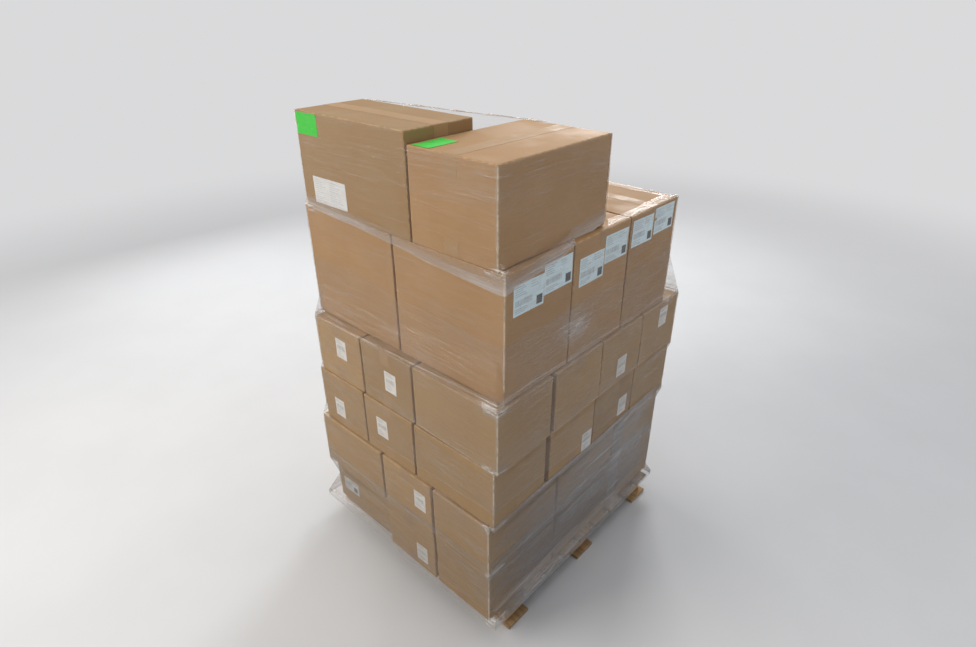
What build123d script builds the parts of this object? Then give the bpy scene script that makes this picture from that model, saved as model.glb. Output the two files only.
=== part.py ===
from build123d import *
import os
from dataclasses import dataclass

os.makedirs("parts", exist_ok=True)

# A stretch wrapped pallet load: 44 cartons in six tiers on a light block pallet.
# Millimetres, +Z up. +X runs along the front from left to right, +Y from the front to the back.
# The origin is the middle of the pallet's underside.

# Pallet: boards along X on three stringers, nine blocks and three bottom boards
pallet_length = 1100.0
pallet_width = 1060.0
board_thickness = 15.0
deck_board_width = 95.0
deck_board_count = 9
stringer_width = 95.0
bottom_board_width = 120.0
block_length = 80.0
block_width = 100.0
block_height = 68.0
block_inset = 30.0
block_rows = 3
block_columns = 3
board_edge_break = 1.5
block_edge_break = 2.0
lead_in = 6.0

# Cartons: length and width are those of the outer box, and the top flaps meet along the length
stock_length = 400.0
stock_width = 286.0
stock_height = 252.0
large_length = 494.0
large_width = 335.0
large_height = 448.0
top_left_length = 577.0
top_left_width = 295.0
top_left_height = 346.0
top_right_length = 545.0
top_right_width = 363.0
top_right_height = 307.0
carton_corner_break = 5.0
flap_fold_break = 2.0
flap_thickness = 4.0
flap_seam = 3.0

# Where each stock tier stands, and the gaps that its cartons were set down with, from the lowest up
stock_rows = 4
tier_left = (-480.0, -477.0, -452.0, -440.0)
tier_front = (-617.0, -622.0, -612.0, -608.0)
tier_column_setback = (33.0, 0.0, 0.0, 0.0)
tier_column_gap = (14.0, 12.0, 10.0, 10.0)
tier_carton_gap = (12.0, 14.0, 8.0, 8.0)
tier_corner_gap = (4.0, 14.0, 26.0, 20.0)
tier_row_gap = (4.0, 14.0, 5.0, 5.0)
tier_column_on_right = (False, False, True, True)

# Where the large cartons stand, and how the two on top of them lie: centred from left to right
large_left = -458.0
large_front = -565.0
large_columns = 2
large_rows = 3
large_column_gap = 8.0
large_row_gap = 7.0
top_carton_gap = 4.0
top_left_overhang = 5.0
top_right_overhang = 2.0

# Paper and tape on the cartons
label_thickness = 0.2
tape_thickness = 0.2
tape_width = 60.0
tape_leg = 65.0
stock_label = (65.0, 88.0)
routing_label = (108.0, 72.0)
shipping_label = (144.0, 102.0)
contents_label = (190.0, 96.0)
green_sticker = (122.0, 73.0)

# Stretch film
film_clearance = 0.5
film_thickness = 0.6
skirt_drop = 25.0
foot_bridge = 110.0
tier_bridge = 35.0
shoulder_lap = 60.0
same_reach = 1e-6
same_direction = 1e-6

# What follows from those
deck_height = 3 * board_thickness + block_height
block_underside = board_thickness
stringer_underside = board_thickness + block_height
deck_underside = stringer_underside + board_thickness
block_pitch_x = (pallet_length - block_length - 2 * block_inset) / (block_columns - 1)
block_pitch_y = (pallet_width - bottom_board_width) / (block_rows - 1)
deck_pitch = (pallet_width - deck_board_width) / (deck_board_count - 1)
large_tier_width = large_columns * large_length + (large_columns - 1) * large_column_gap
large_tier_depth = large_rows * large_width + (large_rows - 1) * large_row_gap
top_pair_width = top_left_length + top_carton_gap + top_right_width
top_pair_left = large_left + (large_tier_width - top_pair_width) / 2


@dataclass(frozen=True)
class Place:
    """A carton's name, its lowest corner, its size along X, Y and Z, and whether its length is along X."""
    name: str
    x: float
    y: float
    z: float
    dx: float
    dy: float
    dz: float
    along_x: bool


@dataclass(frozen=True)
class Tier:
    """A tier of nine stock cartons, four of them end to side in one outer column."""
    number: int
    left: float
    front: float
    column_setback: float
    column_gap: float
    carton_gap: float
    corner_gap: float
    row_gap: float
    column_on_right: bool


stock_tiers = [
    Tier(number, *values)
    for number, values in enumerate(
        zip(tier_left, tier_front, tier_column_setback, tier_column_gap, tier_carton_gap,
            tier_corner_gap, tier_row_gap, tier_column_on_right), start=1)
]


def stock_tier_places(tier):
    """Gives the nine cartons of a tier: a column of four, two columns of two and one turned behind."""
    z = deck_height + (tier.number - 1) * stock_height
    width = stock_length + tier.column_gap + 2 * stock_width + tier.carton_gap
    near, far = ("right", "left") if tier.column_on_right else ("left", "right")

    def place(name, offset, y, along_x):
        dx, dy = (stock_length, stock_width) if along_x else (stock_width, stock_length)
        x = tier.left + (width - offset - dx if tier.column_on_right else offset)
        return Place(f"tier{tier.number}_{name}", x, y, z, dx, dy, stock_height, along_x)

    places = []
    y = tier.front + tier.column_setback
    for row in range(stock_rows):
        name = f"front_{near}" if row == 0 else f"{near}_{row + 1}"
        places.append(place(name, 0.0, y, True))
        y += stock_width + (tier.corner_gap if row == 0 else tier.row_gap)
    back = y - tier.row_gap
    middle = stock_length + tier.column_gap
    outer = middle + stock_width + tier.carton_gap
    second_row = tier.front + stock_length + tier.carton_gap
    places.append(place("front_middle", middle, tier.front, False))
    places.append(place("inner", middle, second_row, False))
    places.append(place(f"front_{far}", outer, tier.front, False))
    places.append(place(f"{far}_2", outer, second_row, False))
    places.append(place(f"back_{far}", width - stock_length, back - stock_width, True))
    return places


def large_tier_places():
    """Gives the six large cartons, two across and three deep."""
    z = deck_height + len(stock_tiers) * stock_height
    places = []
    for row, row_name in enumerate(("front", "middle", "back")[:large_rows]):
        for column, side in enumerate(("left", "right")[:large_columns]):
            x = large_left + column * (large_length + large_column_gap)
            y = large_front + row * (large_width + large_row_gap)
            name = f"tier5_{row_name}_{side}"
            places.append(Place(name, x, y, z, large_length, large_width, large_height, True))
    return places


def top_tier_places():
    """Gives the two odd cartons on top: a tall one lying across and a long one beside it."""
    z = deck_height + len(stock_tiers) * stock_height + large_height
    left = Place("top_carton_left", top_pair_left, large_front - top_left_overhang, z,
                 top_left_length, top_left_width, top_left_height, True)
    right_x = top_pair_left + top_left_length + top_carton_gap
    right = Place("top_carton_right", right_x, large_front - top_right_overhang, z,
                  top_right_width, top_right_length, top_right_height, False)
    return [left, right]


tiers = [stock_tier_places(tier) for tier in stock_tiers] + [large_tier_places(), top_tier_places()]
carton = {place.name: place for tier in tiers for place in tier}


# Pallet
with BuildPart() as bottom_boards:
    with BuildSketch():
        with GridLocations(0, block_pitch_y, 1, block_rows):
            Rectangle(pallet_length, bottom_board_width)
    extrude(amount=board_thickness)
    long_top_edges = bottom_boards.edges().filter_by(Axis.X).group_by(Axis.Z)[-1]
    chamfer(long_top_edges, length=lead_in)
bottom_boards.part.label = "bottom_boards"
export_step(bottom_boards.part, "parts/bottom_boards.step")

with BuildPart() as blocks:
    with BuildSketch(Plane.XY.offset(block_underside)):
        with GridLocations(block_pitch_x, block_pitch_y, block_columns, block_rows):
            Rectangle(block_length, block_width)
    extrude(amount=block_height)
    chamfer(blocks.edges().filter_by(Axis.Z), length=block_edge_break)
blocks.part.label = "blocks"
export_step(blocks.part, "parts/blocks.step")

with BuildPart() as stringer_boards:
    with BuildSketch(Plane.XY.offset(stringer_underside)):
        with GridLocations(block_pitch_x, 0, block_columns, 1):
            Rectangle(stringer_width, pallet_width)
    extrude(amount=board_thickness)
    chamfer(stringer_boards.edges().filter_by(Axis.Y).group_by(Axis.Z)[0], length=board_edge_break)
stringer_boards.part.label = "stringer_boards"
export_step(stringer_boards.part, "parts/stringer_boards.step")

with BuildPart() as deck_boards:
    with BuildSketch(Plane.XY.offset(deck_underside)):
        with GridLocations(0, deck_pitch, 1, deck_board_count):
            Rectangle(pallet_length, deck_board_width)
    extrude(amount=board_thickness)
    chamfer(deck_boards.edges().filter_by(Axis.X), length=board_edge_break)
deck_boards.part.label = "deck_boards"
export_step(deck_boards.part, "parts/deck_boards.step")


# Cartons: broken upright edges, folded flap edges, and the seam where the outer flaps meet
for place in carton.values():
    centre = (place.x + place.dx / 2, place.y + place.dy / 2)
    seam_size = (place.dx, flap_seam) if place.along_x else (flap_seam, place.dy)
    with BuildPart() as box:
        with BuildSketch(Plane.XY.offset(place.z)):
            with Locations(centre):
                Rectangle(place.dx, place.dy)
        extrude(amount=place.dz)
        chamfer(box.edges().filter_by(Axis.Z), length=carton_corner_break)
        flap_folds = box.faces().filter_by(Axis.Z).edges()
        chamfer(flap_folds, length=flap_fold_break)
        with BuildSketch(Plane.XY.offset(place.z), Plane.XY.offset(place.z + place.dz - flap_thickness)):
            with Locations(centre):
                Rectangle(*seam_size)
        extrude(amount=flap_thickness, mode=Mode.SUBTRACT)
    box.part.label = place.name
    export_step(box.part, f"parts/{place.name}.step")


# Labels and stickers: each lies flat on one face of its carton
@dataclass(frozen=True)
class Label:
    """A label's carton, the face that it is on, where it is on that face, and its size.

    Its place along and up the face is a share of the room there, from 0 at the near or lower edge
    to 1 at the other.
    """
    on: str
    face: str
    along: float
    up: float
    size: tuple


def label_plane(label):
    """Gives the plane of a label: its origin is the label's middle, and it faces away from the carton."""
    place = carton[label.on]
    b = carton_corner_break
    face_size = {"front": (place.dx, place.dz), "right": (place.dy, place.dz),
                 "left": (place.dy, place.dz), "top": (place.dx, place.dy)}[label.face]
    label_size = label.size[::-1] if label.face == "top" else label.size
    along, up = (b + size / 2 + share * (room - 2 * b - size)
                 for share, room, size in zip((label.along, label.up), face_size, label_size))
    if label.face == "front":
        return Plane((place.x + along, place.y, place.z + up), x_dir=(1, 0, 0), z_dir=(0, -1, 0))
    if label.face == "right":
        return Plane((place.x + place.dx, place.y + along, place.z + up), x_dir=(0, 1, 0), z_dir=(1, 0, 0))
    if label.face == "left":
        return Plane((place.x, place.y + along, place.z + up), x_dir=(0, -1, 0), z_dir=(-1, 0, 0))
    return Plane((place.x + along, place.y + up, place.z + place.dz), x_dir=(0, 1, 0), z_dir=(0, 0, 1))


stock_labels = [
    Label("tier4_front_left", "front", 0.57, 0.66, stock_label),
    Label("tier4_front_middle", "front", 0.60, 0.49, stock_label),
    Label("tier3_front_left", "front", 0.34, 0.27, stock_label),
    Label("tier3_front_middle", "front", 0.31, 0.55, stock_label),
    Label("tier2_front_middle", "front", 0.87, 0.60, stock_label),
    Label("tier1_front_middle", "front", 0.80, 0.23, stock_label),
    Label("tier4_right_3", "right", 0.53, 0.19, stock_label),
    Label("tier4_right_4", "right", 0.63, 0.86, stock_label),
    Label("tier3_right_2", "right", 0.98, 0.09, stock_label),
    Label("tier3_right_3", "right", 0.84, 0.31, stock_label),
    Label("tier2_front_left", "left", 0.44, 0.60, stock_label),
    Label("tier2_left_3", "left", 0.06, 0.07, stock_label),
    Label("tier1_left_2", "left", 0.96, 0.62, stock_label),
]
shipping_labels = [
    Label("tier5_front_right", "right", 0.19, 0.87, shipping_label),
    Label("tier5_front_right", "right", 0.99, 0.94, shipping_label),
    Label("tier5_middle_right", "right", 0.14, 0.82, shipping_label),
    Label("tier5_middle_right", "right", 0.96, 0.93, shipping_label),
    Label("tier5_back_right", "right", 0.04, 0.95, shipping_label),
    Label("tier5_back_right", "right", 0.90, 0.98, shipping_label),
    Label("tier5_front_left", "left", 0.11, 0.92, shipping_label),
    Label("tier5_front_left", "left", 0.96, 0.88, shipping_label),
    Label("tier5_middle_left", "left", 0.14, 0.92, shipping_label),
    Label("tier5_middle_left", "left", 0.98, 0.87, shipping_label),
    Label("tier5_back_left", "left", 0.07, 0.93, shipping_label),
    Label("tier5_back_left", "left", 0.92, 0.89, shipping_label),
]
single_labels = {
    "routing_label": Label("tier1_front_left", "front", 0.11, 0.35, routing_label),
    "contents_label": Label("top_carton_left", "front", 0.15, 0.10, contents_label),
    "sticker_front": Label("top_carton_left", "front", 0.0, 0.99, green_sticker),
    "sticker_top": Label("top_carton_right", "top", 0.04, 0.01, green_sticker),
}
label_nodes = {"stock_labels": stock_labels, "shipping_labels": shipping_labels}
label_nodes.update({name: [label] for name, label in single_labels.items()})

for node, labels in label_nodes.items():
    with BuildPart() as paper:
        for label in labels:
            with BuildSketch(label_plane(label)):
                Rectangle(*label.size)
        extrude(amount=label_thickness)
    paper.part.label = node
    export_step(paper.part, f"parts/{node}.step")


# Tape over the flap seams of the two cartons on top, with a leg down each end
for place in tiers[-1]:
    node = place.name.replace("carton", "tape")
    length = place.dx if place.along_x else place.dy
    middle = (place.x + place.dx / 2, place.y + place.dy / 2, place.z + place.dz)
    side = Plane(middle, x_dir=(1, 0, 0) if place.along_x else (0, 1, 0),
                 z_dir=(0, -1, 0) if place.along_x else (1, 0, 0))
    with BuildPart() as tape:
        with BuildSketch(side):
            with Locations((0, -tape_leg / 2 + tape_thickness)):
                Rectangle(length + 2 * tape_thickness, tape_leg)
            with Locations((0, -tape_leg / 2)):
                Rectangle(length, tape_leg, mode=Mode.SUBTRACT)
        extrude(amount=tape_width / 2, both=True)
    tape.part.label = node
    export_step(tape.part, f"parts/{node}.step")


# Stretch film: a skin drawn tight round each tier, sloping from one tier's outline to the next
@dataclass(frozen=True)
class Band:
    """A stretch of film: the convex outline that it is drawn round, and its lowest and highest Z."""
    outline: list
    low: float
    high: float


def convex_outline(points):
    """Gives the corners of the tightest convex outline round some points, anticlockwise."""
    ordered = sorted(set(points))

    def turn(a, b, c):
        return (b[0] - a[0]) * (c[1] - a[1]) - (b[1] - a[1]) * (c[0] - a[0])

    def chain(sequence):
        corners = []
        for point in sequence:
            while len(corners) > 1 and turn(corners[-2], corners[-1], point) <= 0:
                corners.pop()
            corners.append(point)
        return corners[:-1]

    return chain(ordered) + chain(reversed(ordered))


def box_corners(x, y, dx, dy):
    """Gives the eight corners of a box's outline, two at each broken upright edge."""
    b = carton_corner_break
    return [(x + i * dx + (1 - 2 * i) * u, y + j * dy + (1 - 2 * j) * (b - u))
            for i in (0, 1) for j in (0, 1) for u in (0, b)]


def outline_round(places):
    """Gives the convex outline round some cartons."""
    return convex_outline([corner for p in places for corner in box_corners(p.x, p.y, p.dx, p.dy)])


def outward_normals(outline):
    """Gives the outward direction of each side of an anticlockwise outline, as a unit Vector."""
    sides = zip(outline, outline[1:] + outline[:1])
    return [Vector(b[1] - a[1], a[0] - b[0], 0).normalized() for a, b in sides]


def grown(outline, distance):
    """Gives a convex outline with each of its sides moved outwards by a distance."""
    normals = outward_normals(outline)
    moves = [(before + after) * (distance / (1 + before.dot(after)))
             for before, after in zip(normals[-1:] + normals[:-1], normals)]
    return [(point[0] + move.X, point[1] + move.Y) for point, move in zip(outline, moves)]


def bridge(lower, low, upper, high):
    """Gives the solid whose flat sides run from one convex outline up to another, touching both."""
    def reached(outline, direction, z):
        reach = [point[0] * direction.X + point[1] * direction.Y for point in outline]
        ends = [i for i, value in enumerate(reach) if value > max(reach) - same_reach]
        if len(ends) == 2 and ends[1] - ends[0] > 1:
            ends.reverse()
        return [Vector(*outline[i], z) for i in ends]

    directions = []
    for normal in outward_normals(lower) + outward_normals(upper):
        if all((normal - other).length > same_direction for other in directions):
            directions.append(normal)
    faces = [Face(Wire.make_polygon([*reached(lower, d, low), *reversed(reached(upper, d, high))]))
             for d in directions]
    faces.append(Face(Wire.make_polygon([Vector(*point, low) for point in reversed(lower)])))
    faces.append(Face(Wire.make_polygon([Vector(*point, high) for point in upper])))
    return Solid(Shell(faces))


top_left, top_right = tiers[-1]
shoulder = tiers[-2][0].z + large_height
large_right = large_left + large_tier_width
deck_sides = [(x, y) for _, y in outline_round(tiers[0]) for x in (-pallet_length / 2, pallet_length / 2)]
skirt = Band(convex_outline(deck_sides), deck_height - skirt_drop, deck_height)
tier_bands = [Band(outline_round(places), places[0].z, places[0].z + places[0].dz) for places in tiers[:-1]]
pair_band = Band(outline_round(tiers[-1]), shoulder, shoulder + top_right_height)
tall_band = Band(outline_round([top_left]), pair_band.high, shoulder + top_left_height)
pair_foot = convex_outline(
    box_corners(large_left, large_front, top_left_length, top_left.y + top_left_width - large_front)
    + box_corners(large_right - top_right_width, large_front, top_right_width,
                  top_right.y + top_right_length - large_front))

bands = [skirt, *tier_bands, pair_band, tall_band]
bridges = [(skirt.outline, deck_height, tier_bands[0].outline, deck_height + foot_bridge)]
for below, above in zip(tier_bands, tier_bands[1:]):
    bridges.append((below.outline, below.high, above.outline, above.low + tier_bridge))
    bridges.append((below.outline, below.high - tier_bridge, above.outline, above.low))
bridges.append((pair_foot, shoulder, pair_band.outline, shoulder + tier_bridge))


def wrapped_body(growth, past_ends):
    """Gives the solid inside all bands and bridges, grown outwards and run past the film's open ends."""
    with BuildPart() as body:
        for band in bands:
            low = band.low - (past_ends if band is skirt else growth)
            high = band.high + (past_ends if band in (pair_band, tall_band) else growth)
            with BuildSketch(Plane.XY.offset(low)):
                Polygon(*grown(band.outline, growth), align=None)
            extrude(amount=high - low)
        for lower, low, upper, high in bridges:
            add(bridge(grown(lower, growth), low, grown(upper, growth), high))
    return body.part


film_outside = wrapped_body(film_clearance + film_thickness, 0.0)
film_inside = wrapped_body(film_clearance, film_clearance)
with BuildPart() as stretch_film:
    add(film_outside)
    add(film_inside, mode=Mode.SUBTRACT)
    with BuildSketch(Plane.XY.offset(shoulder)):
        with Locations((large_left + large_tier_width / 2, large_front + large_tier_depth / 2)):
            Rectangle(large_tier_width - 2 * shoulder_lap, large_tier_depth - 2 * shoulder_lap)
    extrude(amount=film_clearance + film_thickness, mode=Mode.SUBTRACT)
stretch_film.part.label = "stretch_film"
export_step(stretch_film.part, "parts/stretch_film.step")
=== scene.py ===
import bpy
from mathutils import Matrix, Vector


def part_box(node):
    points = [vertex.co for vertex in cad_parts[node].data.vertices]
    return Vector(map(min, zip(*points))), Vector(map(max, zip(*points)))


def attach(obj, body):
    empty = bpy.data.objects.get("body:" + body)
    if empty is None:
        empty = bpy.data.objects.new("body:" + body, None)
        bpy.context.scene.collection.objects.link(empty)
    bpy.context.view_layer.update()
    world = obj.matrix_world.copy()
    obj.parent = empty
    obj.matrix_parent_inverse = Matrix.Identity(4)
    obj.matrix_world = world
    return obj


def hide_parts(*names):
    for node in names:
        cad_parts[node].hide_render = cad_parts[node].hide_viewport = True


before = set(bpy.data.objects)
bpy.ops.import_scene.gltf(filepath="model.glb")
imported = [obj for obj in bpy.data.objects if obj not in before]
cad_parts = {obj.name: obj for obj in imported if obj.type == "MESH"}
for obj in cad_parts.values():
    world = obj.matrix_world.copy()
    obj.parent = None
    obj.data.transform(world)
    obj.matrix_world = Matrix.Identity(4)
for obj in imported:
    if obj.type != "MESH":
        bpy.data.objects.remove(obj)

"""Looks of a stretch wrapped pallet load, in the CAD frame and in metres.

Its sub-assemblies are the cartons with their tape, the labels, the pallet and the film, in a plain studio.
"""
import logging
import math
from dataclasses import dataclass
from enum import Enum
from typing import Iterable, Sequence, Union

import bpy
import numpy as np
from mathutils import Matrix, Vector

log = logging.getLogger("pallet_load")
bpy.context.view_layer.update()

MM = 0.001
SHARP_ANGLE = math.radians(40)
NEAR_EDGE = (0.0, 0.3, 1.0, 2.4)  # grid lines beside a rounded edge, in radii
RIM_REACH = 1.6  # how far the rim value reaches from an edge, in radii

Material = bpy.types.Material
Socket = bpy.types.NodeSocket
Value = Union[Socket, float]
Colour = tuple[float, float, float]
Triple = tuple[float, float, float]
Pair = tuple[float, float]
Box = tuple[np.ndarray, np.ndarray]


class Slot(Enum):
    """The material slots."""
    PALLET_WOOD = "pallet_wood"
    CARDBOARD = "cardboard"
    FILM = "film"
    LABEL_PAPER = "label_paper"
    STICKER_GREEN = "sticker_green"
    TAPE = "tape"


# Noise and meshes

def unit(values: np.ndarray) -> np.ndarray:
    """Keeps values between 0 and 1."""
    return np.clip(values, 0, 1)


def box_of(node: str) -> Box:
    """Gives the lowest and the highest corner of a CAD node."""
    low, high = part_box(node)
    return np.array(low), np.array(high)


def lattice_noise(points: np.ndarray, seed: int, period: int = 0) -> np.ndarray:
    """Gives smooth noise from -1 to 1.

    Args:
        points: One row of two or three coordinates for each point, in lattice cells.
        seed: Picks one of many noises.
        period: The number of cells after which the first coordinate repeats, or 0.

    Returns:
        One value for each point.
    """
    cell = np.floor(points).astype(np.int64)
    part = points - cell
    part = part * part * (3 - 2 * part)
    total = np.zeros(len(points))
    axes = points.shape[1]
    seed_step, cell_step, index_step, last_step = 7919, 1000003, 374761393, 1274126177
    kept_bits = 0x7FFFFFFF
    for corner in range(2 ** axes):
        mixed = np.full(len(points), seed * seed_step + 17, np.int64)
        weight = np.ones(len(points))
        for axis in range(axes):
            up = corner >> axis & 1
            index = cell[:, axis] + up
            if axis == 0 and period:
                index = index % period
            mixed = (mixed * cell_step + index * index_step) & kept_bits
            mixed = (mixed ^ (mixed >> 13)) * last_step & kept_bits
            weight = weight * (part[:, axis] if up else 1 - part[:, axis])
        total += weight * ((mixed >> 7 & 0xFFFF) / 32767.5 - 1)
    return total


def field_noise(first: np.ndarray, second: Union[np.ndarray, float], seed: int,
                period: int = 0) -> np.ndarray:
    """Gives smooth noise over two coordinates in lattice cells, in the shape that they make together.

    Args:
        first: One coordinate.
        second: The other.
        seed: Which noise.
        period: After how many cells the first repeats, or 0.

    Returns:
        The noise.
    """
    first, second = np.broadcast_arrays(first, second)
    cells = np.stack([first.ravel(), second.ravel()], axis=1)
    return lattice_noise(cells, seed, period).reshape(first.shape)


def ridges(noise: np.ndarray, sharpness: float = 2.0) -> np.ndarray:
    """Gives 1 along the zero lines of a noise, and less the further away from them."""
    return (1 - np.abs(noise)) ** sharpness


class Shape:
    """Points, faces and point values of one piece, put together from smaller parts."""

    def __init__(self) -> None:
        """Starts with no points and no faces."""
        self.points: list[np.ndarray] = []
        self.faces: list[list[int]] = []
        self.values: dict[str, list[np.ndarray]] = {}
        self.count = 0

    def add(self, points: np.ndarray, faces: np.ndarray, **values: np.ndarray) -> None:
        """Adds a part.

        Args:
            points: Its points, one row each.
            faces: Its faces, one row of point numbers each, counted from 0 in this part.
            values: Named values for its points, the same names for every part.
        """
        self.points.append(points)
        self.faces.extend((np.asarray(faces) + self.count).tolist())
        for name, value in values.items():
            shape = (len(points),) + np.shape(value)[1:]
            self.values.setdefault(name, []).append(np.broadcast_to(value, shape))
        self.count += len(points)

    def piece(self, name: str, material: Material, slot: Slot,
              replaces: Sequence[str] = (), crisp: bool = False) -> bpy.types.Object:
        """Makes the object, lets it ride on the load's body and hides the CAD nodes that it stands for.

        Args:
            name: The piece's name.
            material: Its finish.
            slot: Not used.
            replaces: The CAD nodes that it stands for.
            crisp: Whether its sharp edges are shaded as sharp ones.

        Returns:
            The object.
        """
        mesh = bpy.data.meshes.new(name)
        mesh.from_pydata(np.vstack(self.points).tolist(), [], self.faces)
        mesh.polygons.foreach_set("use_smooth", np.ones(len(mesh.polygons), bool))
        for value_name, parts in self.values.items():
            whole = np.concatenate(parts).astype(np.float32)
            kind, field = ("FLOAT_VECTOR", "vector") if whole.ndim == 2 else ("FLOAT", "value")
            mesh.attributes.new(value_name, kind, "POINT").data.foreach_set(field, whole.ravel())
        mesh.materials.append(material)
        mesh.update()
        if crisp:
            mesh.set_sharp_from_angle(angle=SHARP_ANGLE)
        thing = bpy.data.objects.new(name, mesh)
        bpy.context.scene.collection.objects.link(thing)
        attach(thing, "root")
        if replaces:
            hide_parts(*replaces)
        log.info("%s: %d points, %d faces", name, len(mesh.vertices), len(mesh.polygons))
        return thing


def grid_faces(rows: int, columns: int, closed: bool = False) -> np.ndarray:
    """Gives the four-sided faces of a grid of points that is stored row by row.

    Args:
        rows: The number of rows of points.
        columns: The number of points in a row.
        closed: Whether each row's last point joins its first.

    Returns:
        One row of four point numbers for each face.
    """
    row = np.arange(rows - 1)[:, None] * columns
    across = np.arange(columns if closed else columns - 1)[None, :]
    beside = (across + 1) % columns
    corners = [row + across, row + beside, row + columns + beside, row + columns + across]
    return np.stack([corner.ravel() for corner in corners], axis=1)


def thin_sheet(points: np.ndarray, normals: np.ndarray, thickness: float) -> tuple[np.ndarray, np.ndarray]:
    """Gives a closed thin sheet.

    Args:
        points: A grid of points on its underside, rows by columns by three.
        normals: The direction of its upper side at each of them.
        thickness: How thick it is.

    Returns:
        Its points and its faces.
    """
    rows, columns = points.shape[:2]
    under = grid_faces(rows, columns)
    count = rows * columns
    ring = np.concatenate([np.arange(columns), np.arange(1, rows) * columns + columns - 1,
                           np.arange(columns - 2, -1, -1) + (rows - 1) * columns,
                           np.arange(rows - 2, 0, -1) * columns])
    beside = np.roll(ring, -1)
    walls = np.stack([ring, beside, beside + count, ring + count], axis=1)
    both = np.vstack([points.reshape(-1, 3), (points + normals * thickness).reshape(-1, 3)])
    return both, np.vstack([under[:, ::-1], under + count, walls])


def edge_lines(length: float, radius: float, spacing: float, extra: Iterable[float] = ()) -> np.ndarray:
    """Gives grid lines from 0 to a length, close together at both ends, where a rounded edge needs them.

    Args:
        length: The length.
        radius: The edge's radius.
        spacing: How far apart lines are.
        extra: Where more lines go.

    Returns:
        The lines.
    """
    near = np.array(NEAR_EDGE) * radius
    count = max(2, round((length - 2 * near[-1]) / spacing))
    middle = np.linspace(near[-1], length - near[-1], count + 1)
    return np.unique(np.round(np.concatenate([near[:-1], middle, length - near[:-1], list(extra)]), 6))


@dataclass
class RoundedBox:
    """A box with rounded edges: its lowest and highest corners, its edge radius and its grid's spacing.

    Extra lines go into its grid along one axis, for a groove.
    """
    low: np.ndarray
    high: np.ndarray
    radius: float
    spacing: float
    extra_axis: int = -1
    extra: tuple[float, ...] = ()

    def mesh(self) -> tuple[np.ndarray, np.ndarray, np.ndarray, np.ndarray]:
        """Builds the box.

        Returns:
            Its points, faces, outward directions and, for each point, how near an edge it is, from 0 to 1.
        """
        size = self.high - self.low
        extras = {self.extra_axis: self.extra}
        lines = [edge_lines(size[axis], self.radius, self.spacing, extras.get(axis, ())) for axis in range(3)]
        points, faces, count = [], [], 0
        for axis in range(3):
            u, v = (axis + 1) % 3, (axis + 2) % 3
            across, along = np.meshgrid(lines[u], lines[v])
            for end in (0, 1):
                side = np.zeros((across.size, 3))
                side[:, axis] = size[axis] * end
                side[:, u], side[:, v] = across.ravel(), along.ravel()
                quads = grid_faces(len(lines[v]), len(lines[u])) + count
                faces.append(quads if end else quads[:, ::-1])
                points.append(side)
                count += len(side)
        stacked, inverse = np.unique(np.round(np.vstack(points), 6), axis=0, return_inverse=True)
        local = stacked - size / 2
        half = size / 2 - self.radius
        inner = np.clip(local, -half, half)
        away = local - inner
        outward = away / np.maximum(np.linalg.norm(away, axis=1, keepdims=True), 1e-9)
        inset = np.sort(size / 2 - np.abs(local), axis=1)[:, 1]
        rim = np.exp(-inset / (RIM_REACH * self.radius))
        rounded = inner + outward * self.radius + self.low + size / 2
        return rounded, inverse.ravel()[np.vstack(faces)], outward, rim


# Node trees

@dataclass(frozen=True)
class Pattern:
    """A noise, stretched along X, Y and Z: its detail and roughness, which span of it shows, and as what."""
    stretch: Triple
    detail: float
    roughness: float
    shown: Pair
    becomes: Pair = (0.0, 1.0)


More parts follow.
